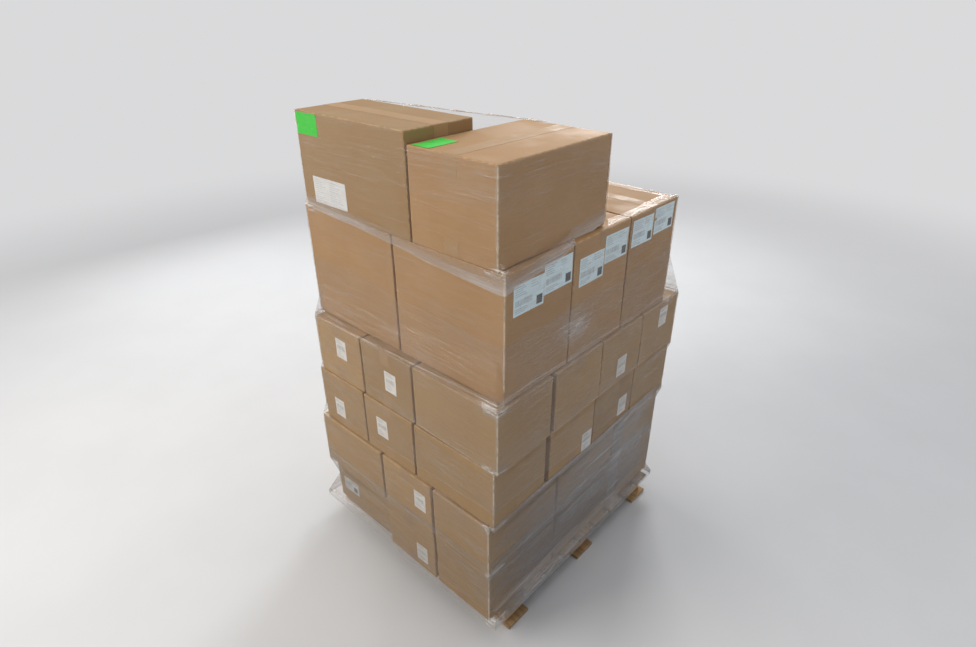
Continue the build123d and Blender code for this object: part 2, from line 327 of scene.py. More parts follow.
class Tree:
    """A node tree that is wired up by calls."""

    def __init__(self, tree: bpy.types.NodeTree) -> None:
        """Keeps the tree that the calls add to."""
        self.tree = tree

    def node(self, kind: str, **settings: object) -> bpy.types.Node:
        """Adds a node of a kind, with its settings.

        Args:
            kind: The node's type.
            **settings: Its settings, by name.

        Returns:
            The node.
        """
        made = self.tree.nodes.new(kind)
        for name, value in settings.items():
            setattr(made, name, value)
        return made

    def feed(self, target: Socket, value: object) -> None:
        """Links a socket to a target, or sets the target to a number or colour.

        Args:
            target: The socket to feed.
            value: What feeds it.
        """
        if isinstance(value, bpy.types.NodeSocket):
            self.tree.links.new(value, target)
        elif target.type == "RGBA":
            target.default_value = (*value[:3], 1.0)
        else:
            target.default_value = value

    def math(self, operation: str, *values: Value, clamp: bool = False) -> Socket:
        """Adds a Math node and gives its result.

        Args:
            operation: The operation.
            *values: What it works on.
            clamp: Whether it is kept in 0 to 1.

        Returns:
            The result.
        """
        made = self.node("ShaderNodeMath", operation=operation, use_clamp=clamp)
        for target, value in zip(made.inputs, values):
            self.feed(target, value)
        return made.outputs[0]

    def times(self, first: Value, second: Value) -> Socket:
        """Multiplies two values."""
        return self.math("MULTIPLY", first, second)

    def plus(self, *values: Value, clamp: bool = False) -> Socket:
        """Adds values up from first to last; a clamped sum stays between 0 and 1.

        Args:
            *values: The values.
            clamp: Whether the sum is clamped.

        Returns:
            The sum.
        """
        total = values[0]
        for value in values[1:-1]:
            total = self.math("ADD", total, value)
        return self.math("ADD", total, values[-1], clamp=clamp)

    def mix(self, factor: Value, first: object, second: object, blend: str = "MIX") -> Socket:
        """Mixes two colours and gives the result.

        Args:
            factor: The share of the second.
            first: One colour.
            second: The other.
            blend: How they blend.

        Returns:
            The colour.
        """
        made = self.node("ShaderNodeMix", data_type="RGBA", blend_type=blend)
        self.feed(made.inputs["Factor"], factor)
        self.feed(made.inputs[6], first)
        self.feed(made.inputs[7], second)
        return made.outputs[2]

    def stretched(self, vector: Socket, scale: Sequence[float]) -> Socket:
        """Scales a vector by a different number along each axis.

        Args:
            vector: The vector.
            scale: The three numbers.

        Returns:
            The scaled vector.
        """
        made = self.node("ShaderNodeVectorMath", operation="MULTIPLY")
        self.feed(made.inputs[0], vector)
        made.inputs[1].default_value = scale
        return made.outputs[0]

    def noise(self, vector: Socket, scale: Value, detail: float = 2.0, roughness: float = 0.5) -> Socket:
        """Adds a noise texture and gives its value.

        Args:
            vector: Where it is read.
            scale: Its scale.
            detail: Its detail.
            roughness: Its roughness.

        Returns:
            The value.
        """
        made = self.node("ShaderNodeTexNoise")
        self.feed(made.inputs["Vector"], vector)
        self.feed(made.inputs["Scale"], scale)
        made.inputs["Detail"].default_value = detail
        made.inputs["Roughness"].default_value = roughness
        return made.outputs[0]

    def pattern(self, vector: Socket, pattern: Pattern) -> Socket:
        """Adds a stretched noise and gives the span of it that shows."""
        noise = self.noise(self.stretched(vector, pattern.stretch), 1.0, pattern.detail, pattern.roughness)
        return self.span(noise, *pattern.shown, *pattern.becomes)

    def span(self, value: Value, low: float, high: float, to_low: float = 0.0,
             to_high: float = 1.0) -> Socket:
        """Maps a value from one span to another, clamped at both ends.

        Args:
            value: The value.
            low: Where its span starts.
            high: Where it ends.
            to_low: What the start becomes.
            to_high: What the end becomes.

        Returns:
            The new value.
        """
        made = self.node("ShaderNodeMapRange", interpolation_type="SMOOTHSTEP")
        for target, number in zip(made.inputs, (value, low, high, to_low, to_high)):
            self.feed(target, number)
        return made.outputs[0]

    def attribute(self, name: str, output: str = "Fac") -> Socket:
        """Reads a named value of the mesh."""
        return self.node("ShaderNodeAttribute", attribute_name=name).outputs[output]

    def place(self) -> Socket:
        """Gives the point's place in the frame."""
        return self.node("ShaderNodeTexCoord").outputs["Object"]

    def parts(self, vector: Socket) -> list[Socket]:
        """Splits a vector into its X, Y and Z.

        Args:
            vector: The vector.

        Returns:
            The three values.
        """
        made = self.node("ShaderNodeSeparateXYZ")
        self.feed(made.inputs[0], vector)
        return list(made.outputs)

    def joined(self, *values: Value) -> Socket:
        """Joins X, Y and Z into a vector.

        Args:
            *values: The three values.

        Returns:
            The vector.
        """
        made = self.node("ShaderNodeCombineXYZ")
        for target, value in zip(made.inputs, values):
            self.feed(target, value)
        return made.outputs[0]

    def shifted(self, vector: Socket, amount: Socket, by: float) -> Socket:
        """Moves a vector by a value, so that two pieces side by side don't share one pattern.

        Args:
            vector: The vector.
            amount: The value.
            by: How far a value of 1 moves it.

        Returns:
            The moved vector.
        """
        step = self.times(amount, by)
        made = self.node("ShaderNodeVectorMath", operation="ADD")
        self.feed(made.inputs[0], vector)
        self.feed(made.inputs[1], self.joined(step, step, step))
        return made.outputs[0]

    def toned(self, colour: Socket, tone: Value, least: float, more: float) -> Socket:
        """Scales a colour by a factor that goes with a piece's tone, from least to least plus more.

        Args:
            colour: The colour.
            tone: The piece's tone.
            least: The factor at tone 0.
            more: What tone 1 adds to it.

        Returns:
            The new colour.
        """
        factor = self.plus(self.times(tone, more), least)
        grey = self.node("ShaderNodeCombineColor")
        for target in grey.inputs:
            self.feed(target, factor)
        return self.mix(1.0, colour, grey.outputs[0], "MULTIPLY")

    def bump(self, height: Socket, distance: float, strength: float = 1.0) -> Socket:
        """Turns a height into a normal.

        Args:
            height: The height.
            distance: How high 1 is.
            strength: How strong it is.

        Returns:
            The normal.
        """
        made = self.node("ShaderNodeBump")
        made.inputs["Strength"].default_value = strength
        made.inputs["Distance"].default_value = distance
        self.feed(made.inputs["Height"], height)
        return made.outputs[0]

    def group(self, shared: bpy.types.NodeTree, **inputs: object) -> bpy.types.Node:
        """Places a shared group, with its inputs by name.

        Args:
            shared: The group.
            **inputs: What feeds it.

        Returns:
            Its node.
        """
        made = self.node("ShaderNodeGroup", node_tree=shared)
        for name, value in inputs.items():
            self.feed(made.inputs[name.replace("_", " ")], value)
        return made


def new_group(name: str, inputs: dict[str, str],
              outputs: dict[str, str]) -> tuple[Tree, bpy.types.Node, bpy.types.Node]:
    """Starts a shared node group.

    Args:
        name: Its name.
        inputs: The kind of each input socket, by name.
        outputs: The kind of each output socket, by name.

    Returns:
        Its tree, its input node and its output node.
    """
    tree = bpy.data.node_groups.new(name, "ShaderNodeTree")
    for sockets, direction in ((inputs, "INPUT"), (outputs, "OUTPUT")):
        for socket_name, kind in sockets.items():
            tree.interface.new_socket(socket_name, in_out=direction, socket_type=f"NodeSocket{kind}")
    made = Tree(tree)
    return made, made.node("NodeGroupInput"), made.node("NodeGroupOutput")


class Effects:
    """The effects that several finishes share, each one node group."""

    def __init__(self) -> None:
        """Builds each group once."""
        self.fibres = self._fibres()
        self.clouds = self._clouds()
        self.wear = self._wear()
        self.grain = self._grain()

    @staticmethod
    def _fibres() -> bpy.types.NodeTree:
        """Fine specks and short fibres of pulp.

        Returns:
            The node group.
        """
        tree, given, result = new_group("pulp_fibres", {"Vector": "Vector", "Scale": "Float"},
                                        {"Specks": "Float"})
        vector, scale = given.outputs["Vector"], given.outputs["Scale"]
        fine = tree.noise(vector, scale, 4.0, 0.72)
        long = tree.noise(tree.stretched(vector, (2.2, 2.2, 0.5)), scale, 2.0, 0.6)
        both = tree.plus(tree.times(fine, 0.6), tree.times(long, 0.4))
        tree.feed(result.inputs["Specks"], tree.span(both, 0.36, 0.64))
        return tree.tree

    @staticmethod
    def _clouds() -> bpy.types.NodeTree:
        """Soft light and dark areas, as handling and damp leave.

        Returns:
            The node group.
        """
        tree, given, result = new_group("soft_clouds", {"Vector": "Vector", "Scale": "Float"},
                                        {"Clouds": "Float"})
        cloud = tree.noise(given.outputs["Vector"], given.outputs["Scale"], 3.0, 0.55)
        tree.feed(result.inputs["Clouds"], tree.span(cloud, 0.33, 0.67))
        return tree.tree

    @staticmethod
    def _wear() -> bpy.types.NodeTree:
        """Rubbed and crushed edges.

        Returns:
            The node group.
        """
        tree, given, result = new_group("edge_wear", {"Vector": "Vector", "Rim": "Float", "Scale": "Float"},
                                        {"Wear": "Float"})
        noise = tree.noise(given.outputs["Vector"], given.outputs["Scale"], 4.0, 0.65)
        broken = tree.span(noise, 0.38, 0.66)
        edge = tree.span(given.outputs["Rim"], 0.30, 0.95)
        tree.feed(result.inputs["Wear"], tree.times(edge, broken))
        return tree.tree

    @staticmethod
    def _grain() -> bpy.types.NodeTree:
        """Wood grain along Z of its vector.

        Returns:
            The node group.
        """
        tree, given, result = new_group("wood_grain", {"Vector": "Vector"},
                                        {"Rings": "Float", "Pores": "Float"})
        vector = given.outputs["Vector"]
        bent = tree.noise(tree.stretched(vector, (9.0, 9.0, 1.6)), 1.0, 2.0, 0.5)
        x, y, _ = tree.parts(vector)
        across = tree.plus(tree.times(x, 150.0), tree.times(y, 90.0))
        rings = tree.math("SINE", tree.plus(across, tree.times(bent, 34.0)))
        tree.feed(result.inputs["Rings"], tree.span(rings, -0.9, 0.9))
        pores = tree.pattern(vector, Pattern((420.0, 420.0, 14.0), 3.0, 0.6, (0.38, 0.66)))
        tree.feed(result.inputs["Pores"], pores)
        return tree.tree


def new_material(name: str) -> tuple[Material, Tree, bpy.types.Node]:
    """Starts a material.

    Args:
        name: Its name.

    Returns:
        The material, its tree and its Principled shader.
    """
    material = bpy.data.materials.new(name)
    material.use_nodes = True
    return material, Tree(material.node_tree), material.node_tree.nodes["Principled BSDF"]


@dataclass(frozen=True)
class KraftFinish:
    """Brown corrugated board: its colour, the darker and paler ones it varies to, and how much of each."""
    name: str
    colour: Colour
    dark: Colour = (0.355, 0.196, 0.082)
    pale: Colour = (0.68, 0.47, 0.27)
    clouds: float = 0.17
    specks: float = 0.22
    wear: float = 0.72
    # how much painted shade the stripes across the flute ridges carry
    flute_ridges_and_shade: float = 0.05
    flute_pitch: float = 7.5 * MM
    least_tone: float = 0.82
    more_tone: float = 0.36
    roughness: Pair = (0.62, 0.78)
    relief: float = 0.35 * MM

    def material(self, effects: Effects) -> Material:
        """Builds the material; a carton's tone and rim come from its mesh.

        Args:
            effects: The shared node groups.

        Returns:
            The material.
        """
        material, tree, shader = new_material(self.name)
        tone = tree.attribute("tone")
        place = tree.shifted(tree.place(), tone, 13.7)
        clouds = tree.group(effects.clouds, Vector=place, Scale=5.0).outputs["Clouds"]
        specks = tree.group(effects.fibres, Vector=place, Scale=420.0).outputs["Specks"]
        wear = tree.group(effects.wear, Vector=place, Rim=tree.attribute("rim"), Scale=55.0).outputs["Wear"]
        colour = tree.mix(tree.times(clouds, self.clouds), self.colour, self.dark)
        colour = tree.mix(tree.times(specks, self.specks), colour, self.dark)
        colour = tree.mix(tree.times(wear, self.wear), colour, self.pale)
        x, y, _ = tree.parts(tree.place())
        # flute ridges: their colour stripes are painted shade, and the bump below is their relief
        flute_ridges_and_shade = tree.math("SINE", tree.times(tree.plus(x, y), 2 * math.pi / self.flute_pitch))
        flute_ridges_and_shade = tree.times(tree.plus(flute_ridges_and_shade, 1.0), 0.5)
        colour = tree.mix(tree.times(flute_ridges_and_shade, self.flute_ridges_and_shade), colour, self.pale)
        colour = tree.toned(colour, tone, self.least_tone, self.more_tone)
        tree.feed(shader.inputs["Base Color"], colour)
        tree.feed(shader.inputs["Roughness"], tree.span(clouds, 0.0, 1.0, *self.roughness))
        height = tree.plus(tree.times(specks, 0.35), tree.times(flute_ridges_and_shade, 0.22))
        tree.feed(shader.inputs["Normal"], tree.bump(height, self.relief, 0.5))
        return material


@dataclass(frozen=True)
class WoodFinish:
    """Rough sawn softwood: its colour, its darker late wood, the grey of its dirt, and how much of each."""
    name: str
    colour: Colour = (0.54, 0.350, 0.165)
    late: Colour = (0.26, 0.155, 0.075)
    dirt: Colour = (0.16, 0.13, 0.10)
    rings: float = 0.42
    pores: float = 0.30
    dirt_share: float = 0.35
    wear: float = 0.45
    least_tone: float = 0.72
    more_tone: float = 0.5
    roughness: Pair = (0.68, 0.86)
    relief: float = 0.6 * MM

    def material(self, effects: Effects) -> Material:
        """Builds the material; the grain's direction, tone and rim come from the mesh.

        Args:
            effects: The shared node groups.

        Returns:
            The material.
        """
        material, tree, shader = new_material(self.name)
        grain = tree.attribute("grain", "Vector")
        wood = tree.group(effects.grain, Vector=grain).outputs
        stains = tree.group(effects.clouds, Vector=tree.stretched(grain, (1.0, 1.0, 0.3)), Scale=16.0)
        wear = tree.group(effects.wear, Vector=grain, Rim=tree.attribute("rim"), Scale=70.0)
        colour = tree.mix(tree.times(wood["Rings"], self.rings), self.colour, self.late)
        colour = tree.mix(tree.times(wood["Pores"], self.pores), colour, self.late)
        colour = tree.mix(tree.times(stains.outputs["Clouds"], self.dirt_share), colour, self.dirt)
        colour = tree.mix(tree.times(wear.outputs["Wear"], self.wear), colour, self.dirt)
        colour = tree.toned(colour, tree.attribute("tone"), self.least_tone, self.more_tone)
        tree.feed(shader.inputs["Base Color"], colour)
        tree.feed(shader.inputs["Roughness"], tree.span(wood["Pores"], 0.0, 1.0, *self.roughness))
        height = tree.plus(tree.times(wood["Rings"], 0.4), tree.times(wood["Pores"], 0.6))
        tree.feed(shader.inputs["Normal"], tree.bump(height, self.relief, 0.8))
        return material


@dataclass(frozen=True)
class FilmFinish:
    """Clear stretch film: its colours, its patterns along the pull, and how much shows of each.

    It is hazy where it is thin, and greyer and darker where it is dense; the extra density on the right side
    paints a grey shade and sheen there. Creases, streaks and hems are painted pale, partly as whitened film
    and partly as painted highlights, and a bright warm line along each stretched corner is a painted
    highlight of the film over the worn board edge. The patterns are streaks, and the spots and lines of
    creases.
    """
    haze_colour: Colour = (0.49, 0.425, 0.365)
    dense_and_shaded_colour: Colour = (0.345, 0.318, 0.305)
    crease_glint_colour: Colour = (0.93, 0.89, 0.84)
    line_highlight_colour: Colour = (1.0, 0.76, 0.46)
    broad: Pattern = Pattern((1.3, 1.3, 52.0), 3.0, 0.55, (0.50, 0.76))
    fine: Pattern = Pattern((4.0, 4.0, 260.0), 3.0, 0.65, (0.50, 0.70))
    pulled: Pattern = Pattern((6.0, 6.0, 115.0), 4.0, 0.62, (0.46, 0.70))
    spots: Pattern = Pattern((60.0, 60.0, 75.0), 4.0, 0.6, (0.52, 0.66))
    drawn: Pattern = Pattern((9.0, 9.0, 120.0), 3.0, 0.6, (0.47, 0.66))
    glint: Pattern = Pattern((12.0, 12.0, 24.0), 3.0, 0.6, (0.36, 0.62), (0.60, 1.0))
    haze: float = 0.070
    broad_streaks: float = 0.055
    fine_streaks: float = 0.065
    pulled_streaks: float = 0.15
    creases: float = 0.55
    crumples: float = 0.05
    hems: float = 0.30
    corner_highlights: float = 0.90
    patchiness: Pair = (0.78, 1.16)
    roughness: Pair = (0.13, 0.26)
    ior: float = 2.35
    relief: float = 1.6 * MM

    def material(self, effects: Effects) -> Material:
        """Builds the material; height, crumple, edge, line and layers come from the mesh.

        Args:
            effects: The shared node groups.

        Returns:
            The material.
        """
        material, tree, shader = new_material("stretch_film_clear")
        x, y, _ = tree.parts(tree.place())
        flow = tree.joined(x, y, tree.attribute("height"))
        crumple, edge, layers = (tree.attribute(name) for name in ("crumple", "edge", "layers"))
        cloud = tree.group(effects.clouds, Vector=tree.stretched(flow, (0.5, 0.5, 1.6)), Scale=5.5)
        patchy = tree.span(cloud.outputs["Clouds"], 0.0, 1.0, *self.patchiness)
        broad, fine = tree.pattern(flow, self.broad), tree.pattern(flow, self.fine)
        spots, drawn = tree.pattern(flow, self.spots), tree.pattern(flow, self.drawn)
        creased = tree.times(tree.math("MAXIMUM", tree.times(spots, 0.75), drawn), crumple)
        # a painted highlight line along the corners, warm over the worn board edge
        line = tree.times(tree.attribute("line"), tree.pattern(flow, self.glint))
        pulled = tree.times(tree.pattern(flow, self.pulled), tree.span(layers, 0.2, 1.5, 0.10, 1.0))
        pulled = tree.times(pulled, tree.span(layers, 1.2, 2.0, 1.0, 0.38))
        hazy = tree.times(tree.plus(tree.times(broad, self.broad_streaks), self.haze), patchy)
        alpha = tree.plus(tree.times(hazy, layers), tree.times(pulled, self.pulled_streaks),
                          tree.times(tree.times(fine, patchy), self.fine_streaks),
                          tree.times(creased, self.creases), tree.times(edge, self.hems),
                          tree.times(crumple, self.crumples), tree.times(line, self.corner_highlights), clamp=True)
        tree.feed(shader.inputs["Alpha"], alpha)
        # the grey of dense film; over the right side it is painted shade and sheen
        colour = tree.mix(tree.span(layers, 1.0, 2.6), self.haze_colour, self.dense_and_shaded_colour)
        # pale creases, streaks and hems: partly whitened film, partly painted highlights
        white = tree.plus(tree.times(fine, 0.35), creased, tree.times(pulled, 0.27), tree.times(edge, 0.25),
                          clamp=True)
        colour = tree.mix(white, colour, self.crease_glint_colour)
        tree.feed(shader.inputs["Base Color"], tree.mix(line, colour, self.line_highlight_colour))
        tree.feed(shader.inputs["Roughness"], tree.span(cloud.outputs["Clouds"], 0.0, 1.0, *self.roughness))
        shader.inputs["IOR"].default_value = self.ior
        height = tree.plus(tree.times(broad, 0.9), tree.times(fine, 0.30), tree.times(creased, 1.8))
        tree.feed(shader.inputs["Normal"], tree.bump(height, self.relief, 0.8))
        return material


@dataclass(frozen=True)
class PaperFinish:
    """Label or sticker paper: its name, colour, the colour that its blotches go to, and its gloss."""
    name: str
    colour: Colour
    blotch: Colour
    roughness: Pair = (0.34, 0.50)
    ior: float = 1.5
    clouds: float = 0.45
    specks: float = 0.12

    def material(self, effects: Effects) -> Material:
        """Builds the material.

        Args:
            effects: The shared node groups.

        Returns:
            The material.
        """
        material, tree, shader = new_material(self.name)
        place = tree.place()
        clouds = tree.group(effects.clouds, Vector=place, Scale=26.0).outputs["Clouds"]
        specks = tree.group(effects.fibres, Vector=place, Scale=700.0).outputs["Specks"]
        colour = tree.mix(tree.times(clouds, self.clouds), self.colour, self.blotch)
        colour = tree.mix(tree.times(specks, self.specks), colour, self.blotch)
        tree.feed(shader.inputs["Base Color"], colour)
        tree.feed(shader.inputs["Roughness"], tree.span(clouds, 0.0, 1.0, *self.roughness))
        shader.inputs["IOR"].default_value = self.ior
        tree.feed(shader.inputs["Normal"], tree.bump(specks, 0.05 * MM, 0.5))
        return material


@dataclass(frozen=True)
class InkFinish:
    """Grey label ink: full strength and nearly worn away."""
    full: Colour = (0.055, 0.06, 0.07)
    worn: Colour = (0.56, 0.61, 0.64)
    specks: float = 0.15
    roughness: Pair = (0.45, 0.6)

    def material(self, effects: Effects) -> Material:
        """Builds the material; how faint each mark is comes from the mesh.

        Args:
            effects: The shared node groups.

        Returns:
            The material.
        """
        material, tree, shader = new_material("label_ink")
        specks = tree.group(effects.fibres, Vector=tree.place(), Scale=500.0).outputs["Specks"]
        faint = tree.plus(tree.attribute("faint"), tree.times(specks, self.specks), clamp=True)
        tree.feed(shader.inputs["Base Color"], tree.mix(faint, self.full, self.worn))
        tree.feed(shader.inputs["Roughness"], tree.span(specks, 0.0, 1.0, *self.roughness))
        return material


@dataclass(frozen=True)
class TapeFinish:
    """Clear packing tape on board: the colour that shows through, and the streaks and clouds of its glue."""
    colour: Colour = (0.425, 0.262, 0.128)
    pale: Colour = (0.47, 0.298, 0.152)
    glue: Pattern = Pattern((60.0, 60.0, 60.0), 3.0, 0.6, (0.45, 0.75))
    streaks: float = 0.35
    clouds: float = 0.35
    roughness: Pair = (0.52, 0.68)
    ior: float = 1.38

    def material(self, effects: Effects) -> Material:
        """Builds the material.

        Args:
            effects: The shared node groups.

        Returns:
            The material.
        """
        material, tree, shader = new_material("packing_tape")
        place = tree.place()
        streaks = tree.pattern(place, self.glue)
        clouds = tree.group(effects.clouds, Vector=place, Scale=14.0).outputs["Clouds"]
        shade = tree.plus(tree.times(streaks, self.streaks), tree.times(clouds, self.clouds))
        tree.feed(shader.inputs["Base Color"], tree.mix(shade, self.colour, self.pale))
        tree.feed(shader.inputs["Roughness"], tree.span(clouds, 0.0, 1.0, *self.roughness))
        shader.inputs["IOR"].default_value = self.ior
        tree.feed(shader.inputs["Normal"], tree.bump(streaks, 0.3 * MM, 0.5))
        return material


@dataclass(frozen=True)
class NailFinish:
    """Dull steel of the nail heads, with spots of rust."""
    steel: Colour = (0.34, 0.33, 0.32)
    rust: Colour = (0.20, 0.09, 0.04)
    roughness: Pair = (0.42, 0.75)

    def material(self, effects: Effects) -> Material:
        """Builds the material.

        Args:
            effects: The shared node groups.

        Returns:
            The material.
        """
        material, tree, shader = new_material("nail_steel")
        spots = tree.group(effects.clouds, Vector=tree.place(), Scale=180.0).outputs["Clouds"]
        tree.feed(shader.inputs["Base Color"], tree.mix(spots, self.steel, self.rust))
        tree.feed(shader.inputs["Metallic"], tree.span(spots, 0.2, 0.8, 0.9, 0.1))
        tree.feed(shader.inputs["Roughness"], tree.span(spots, 0.0, 1.0, *self.roughness))
        return material


# Cartons, tape and labels

LEVEL = 0.9  # a direction whose Z is more than this, up or down, belongs to a top or a bottom


def board_dent(points: np.ndarray, outward: np.ndarray) -> np.ndarray:
    """Gives how far a carton's board stands proud of its flat face at some points, more in than out.

    Args:
        points: The points.
        outward: Which way the board faces there.

    Returns:
        The moves, one row for each point.
    """
    wide = lattice_noise(points * 7.0 + 3.1, 11)
    near = lattice_noise(points * 21.0 + 9.7, 12)
    return outward * ((wide * 0.9 + near * 0.25 - 0.45) * MM)[:, None]


def board_moves(points: np.ndarray, outward: np.ndarray) -> tuple[np.ndarray, np.ndarray]:
    """Gives a carton's dents at some points, and which are on its top or bottom, where dents only go in.

    Args:
        points: The points.
        outward: Which way the board faces there.

    Returns:
        The moves, and a mask of the points on the top and bottom.
    """
    moved = board_dent(points, outward)
    level = np.abs(outward[:, 2]) > LEVEL
    inward = outward * -np.abs(moved.sum(axis=1))[:, None]
    return np.where(level[:, None], inward, moved), level


@dataclass
class Carton:
    """One closed carton: its CAD node, its box, whether its flaps meet along X, and its tone, from 0 to 1."""
    node: str
    low: np.ndarray
    high: np.ndarray
    seam_along_x: bool
    tone: float
    inset: float = 0.5 * MM
    spacing: float = 26 * MM
    edge_radius: float = 4.0 * MM
    seam_width: float = 3.0 * MM
    seam_depth: float = 3.0 * MM
    crush: float = 3.2 * MM

    def shape(self) -> Shape:
        """Builds the board: rounded scored edges, slack panels, a few crushed edges and the flap seams.

        Returns:
            The board's shape.
        """
        across = 1 if self.seam_along_x else 0
        middle = (self.high[across] - self.low[across]) / 2
        groove = tuple(middle + k * self.seam_width for k in (-1.1, -0.5, 0.5, 1.1))
        inset = np.array([0.0, 0.0, self.inset])
        box = RoundedBox(self.low + inset, self.high - inset, self.edge_radius, self.spacing, across, groove)
        points, faces, outward, rim = box.mesh()
        moved, level = board_moves(points, outward)
        dented = lattice_noise(points * 26.0 + self.tone * 31.0, 21) * 0.5 + 0.5
        moved -= outward * (rim ** 1.5 * dented ** 5 * self.crush)[:, None]
        centre = (self.low[across] + self.high[across]) / 2
        in_seam = level & (np.abs(points[:, across] - centre) < 0.7 * self.seam_width)
        moved[in_seam, 2] -= np.sign(outward[in_seam, 2]) * self.seam_depth
        shape = Shape()
        shape.add(points + moved, faces, tone=np.full(len(points), self.tone), rim=rim)
        return shape


@dataclass
class CartonStack:
    """All cartons of the load, with their tape: each strip of it lies a little askew, and its legs differ."""
    tape_width: float = 50.0 * MM
    tape_leg: float = 55.0 * MM
    tape_lift: float = 0.25 * MM
    tape_thickness: float = 0.25 * MM
    leg_spread: Pair = (0.85, 1.1)
    tape_shift_mm: float = 3.0
    tape_lean: float = 0.006

    def __post_init__(self) -> None:
        """Makes the cartons from the CAD nodes."""
        names = [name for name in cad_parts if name.startswith(("tier", "top_carton"))]
        rng = np.random.default_rng(4)
        self.cartons: list[Carton] = []
        for name in sorted(names):
            low, high = box_of(name)
            size = high - low
            tone = float(np.clip(rng.normal(0.5, 0.17), 0.1, 0.9))
            self.cartons.append(Carton(name, low, high, bool(size[0] > size[1]), tone))

    def build(self, plain: Material, ruddy: Material, dull: Material, tape: Material) -> None:
        """Builds each carton as a piece of its own, and the tape of each tier as one more.

        Args:
            plain: The finish of the stock cartons' board.
            ruddy: The finish of the large cartons' board, and of the long one's on top.
            dull: The finish of the tall top carton's board.
            tape: The finish of the tape.
        """
        for carton in self.cartons:
            kraft = ruddy if carton.node.startswith(("tier5", "top_carton_right")) else plain
            kraft = dull if carton.node == "top_carton_left" else kraft
            carton.shape().piece(f"board_{carton.node}", kraft, Slot.CARDBOARD, [carton.node])
        for tier in range(1, 6):
            shape = Shape()
            for carton in self.cartons:
                if carton.node.startswith(f"tier{tier}_"):
                    for top in (True, False):
                        self.add_strip(shape, carton, top, self.tape_width, self.tape_leg)
            shape.piece(f"tape_tier{tier}", tape, Slot.TAPE, crisp=True)
        for carton in self.cartons:
            if carton.node.startswith("top_carton"):
                node = carton.node.replace("carton", "tape")
                low, high = box_of(node)
                width = (high - low)[1 if carton.seam_along_x else 0]
                shape = Shape()
                for top in (True, False):
                    self.add_strip(shape, carton, top, width, high[2] - low[2])
                shape.piece(f"strip_{node}", tape, Slot.TAPE, [node], crisp=True)

    def add_strip(self, shape: Shape, carton: Carton, top: bool, width: float, leg: float) -> None:
        """Adds one strip of tape over a carton's flap seam, with a leg on each narrow end.

        Args:
            shape: The shape that it goes into.
            carton: The carton that it closes.
            top: Whether it is on the top, and not on the bottom.
            width: The strip's width.
            leg: The length of its legs.
        """
        rng = np.random.default_rng(len(carton.node) * 31 + int(carton.tone * 1e4) + top)
        run = 0 if carton.seam_along_x else 1
        length = carton.high[run] - carton.low[run]
        r = carton.edge_radius
        reach, level = length / 2, (carton.high[2] - carton.low[2]) / 2
        legs = leg * rng.uniform(*self.leg_spread, 2)
        turns = np.linspace(0, math.pi / 2, 5)
        half = [(reach, level - r - t, 1.0, 0.0) for t in np.linspace(legs[0] - r, 0, 4, endpoint=False)]
        half += [(reach - r + r * math.cos(a), level - r + r * math.sin(a), math.cos(a), math.sin(a))
                 for a in turns]
        flat_reach = reach - NEAR_EDGE[-1] * r
        flat = [(x, level, 0.0, 1.0) for x in np.linspace(flat_reach, -flat_reach, 18)]
        other = [(-x, z, -nx, nz) for x, z, nx, nz in reversed(half)]
        other[-1] = (other[-1][0], level - legs[1], -1.0, 0.0)
        path = np.array(half + flat + other)
        sides = np.linspace(-width / 2, width / 2, 5)
        shift = rng.uniform(-self.tape_shift_mm, self.tape_shift_mm) * MM
        points = np.zeros((len(path), len(sides), 3))
        normals = np.zeros_like(points)
        up = 1.0 if top else -1.0
        points[..., run] = path[:, 0][:, None]
        points[..., 1 - run] = sides[None, :] + shift + path[:, 0][:, None] * self.tape_lean
        points[..., 2] = path[:, 1][:, None] * up - carton.inset * up
        normals[..., run] = path[:, 2][:, None]
        normals[..., 2] = path[:, 3][:, None] * up
        points += (carton.low + carton.high) / 2
        listed, directions = points.reshape(-1, 3), normals.reshape(-1, 3)
        moved, _ = board_moves(listed, directions)
        points = (listed + moved + directions * self.tape_lift).reshape(points.shape)
        if (run == 0) == top:
            points, normals = points[:, ::-1], normals[:, ::-1]
        shape.add(*thin_sheet(points, normals, self.tape_thickness))


class Ink(Enum):
    """What is printed on a kind of label: nothing that can be read."""
    STOCK = "stock"
    SHIPPING = "shipping"
    ROUTING = "routing"
    CONTENTS = "contents"
    NONE = "none"


FAINTNESS = {Ink.STOCK: 0.72, Ink.SHIPPING: 0.80, Ink.ROUTING: 0.30, Ink.CONTENTS: 0.90, Ink.NONE: 1.0}


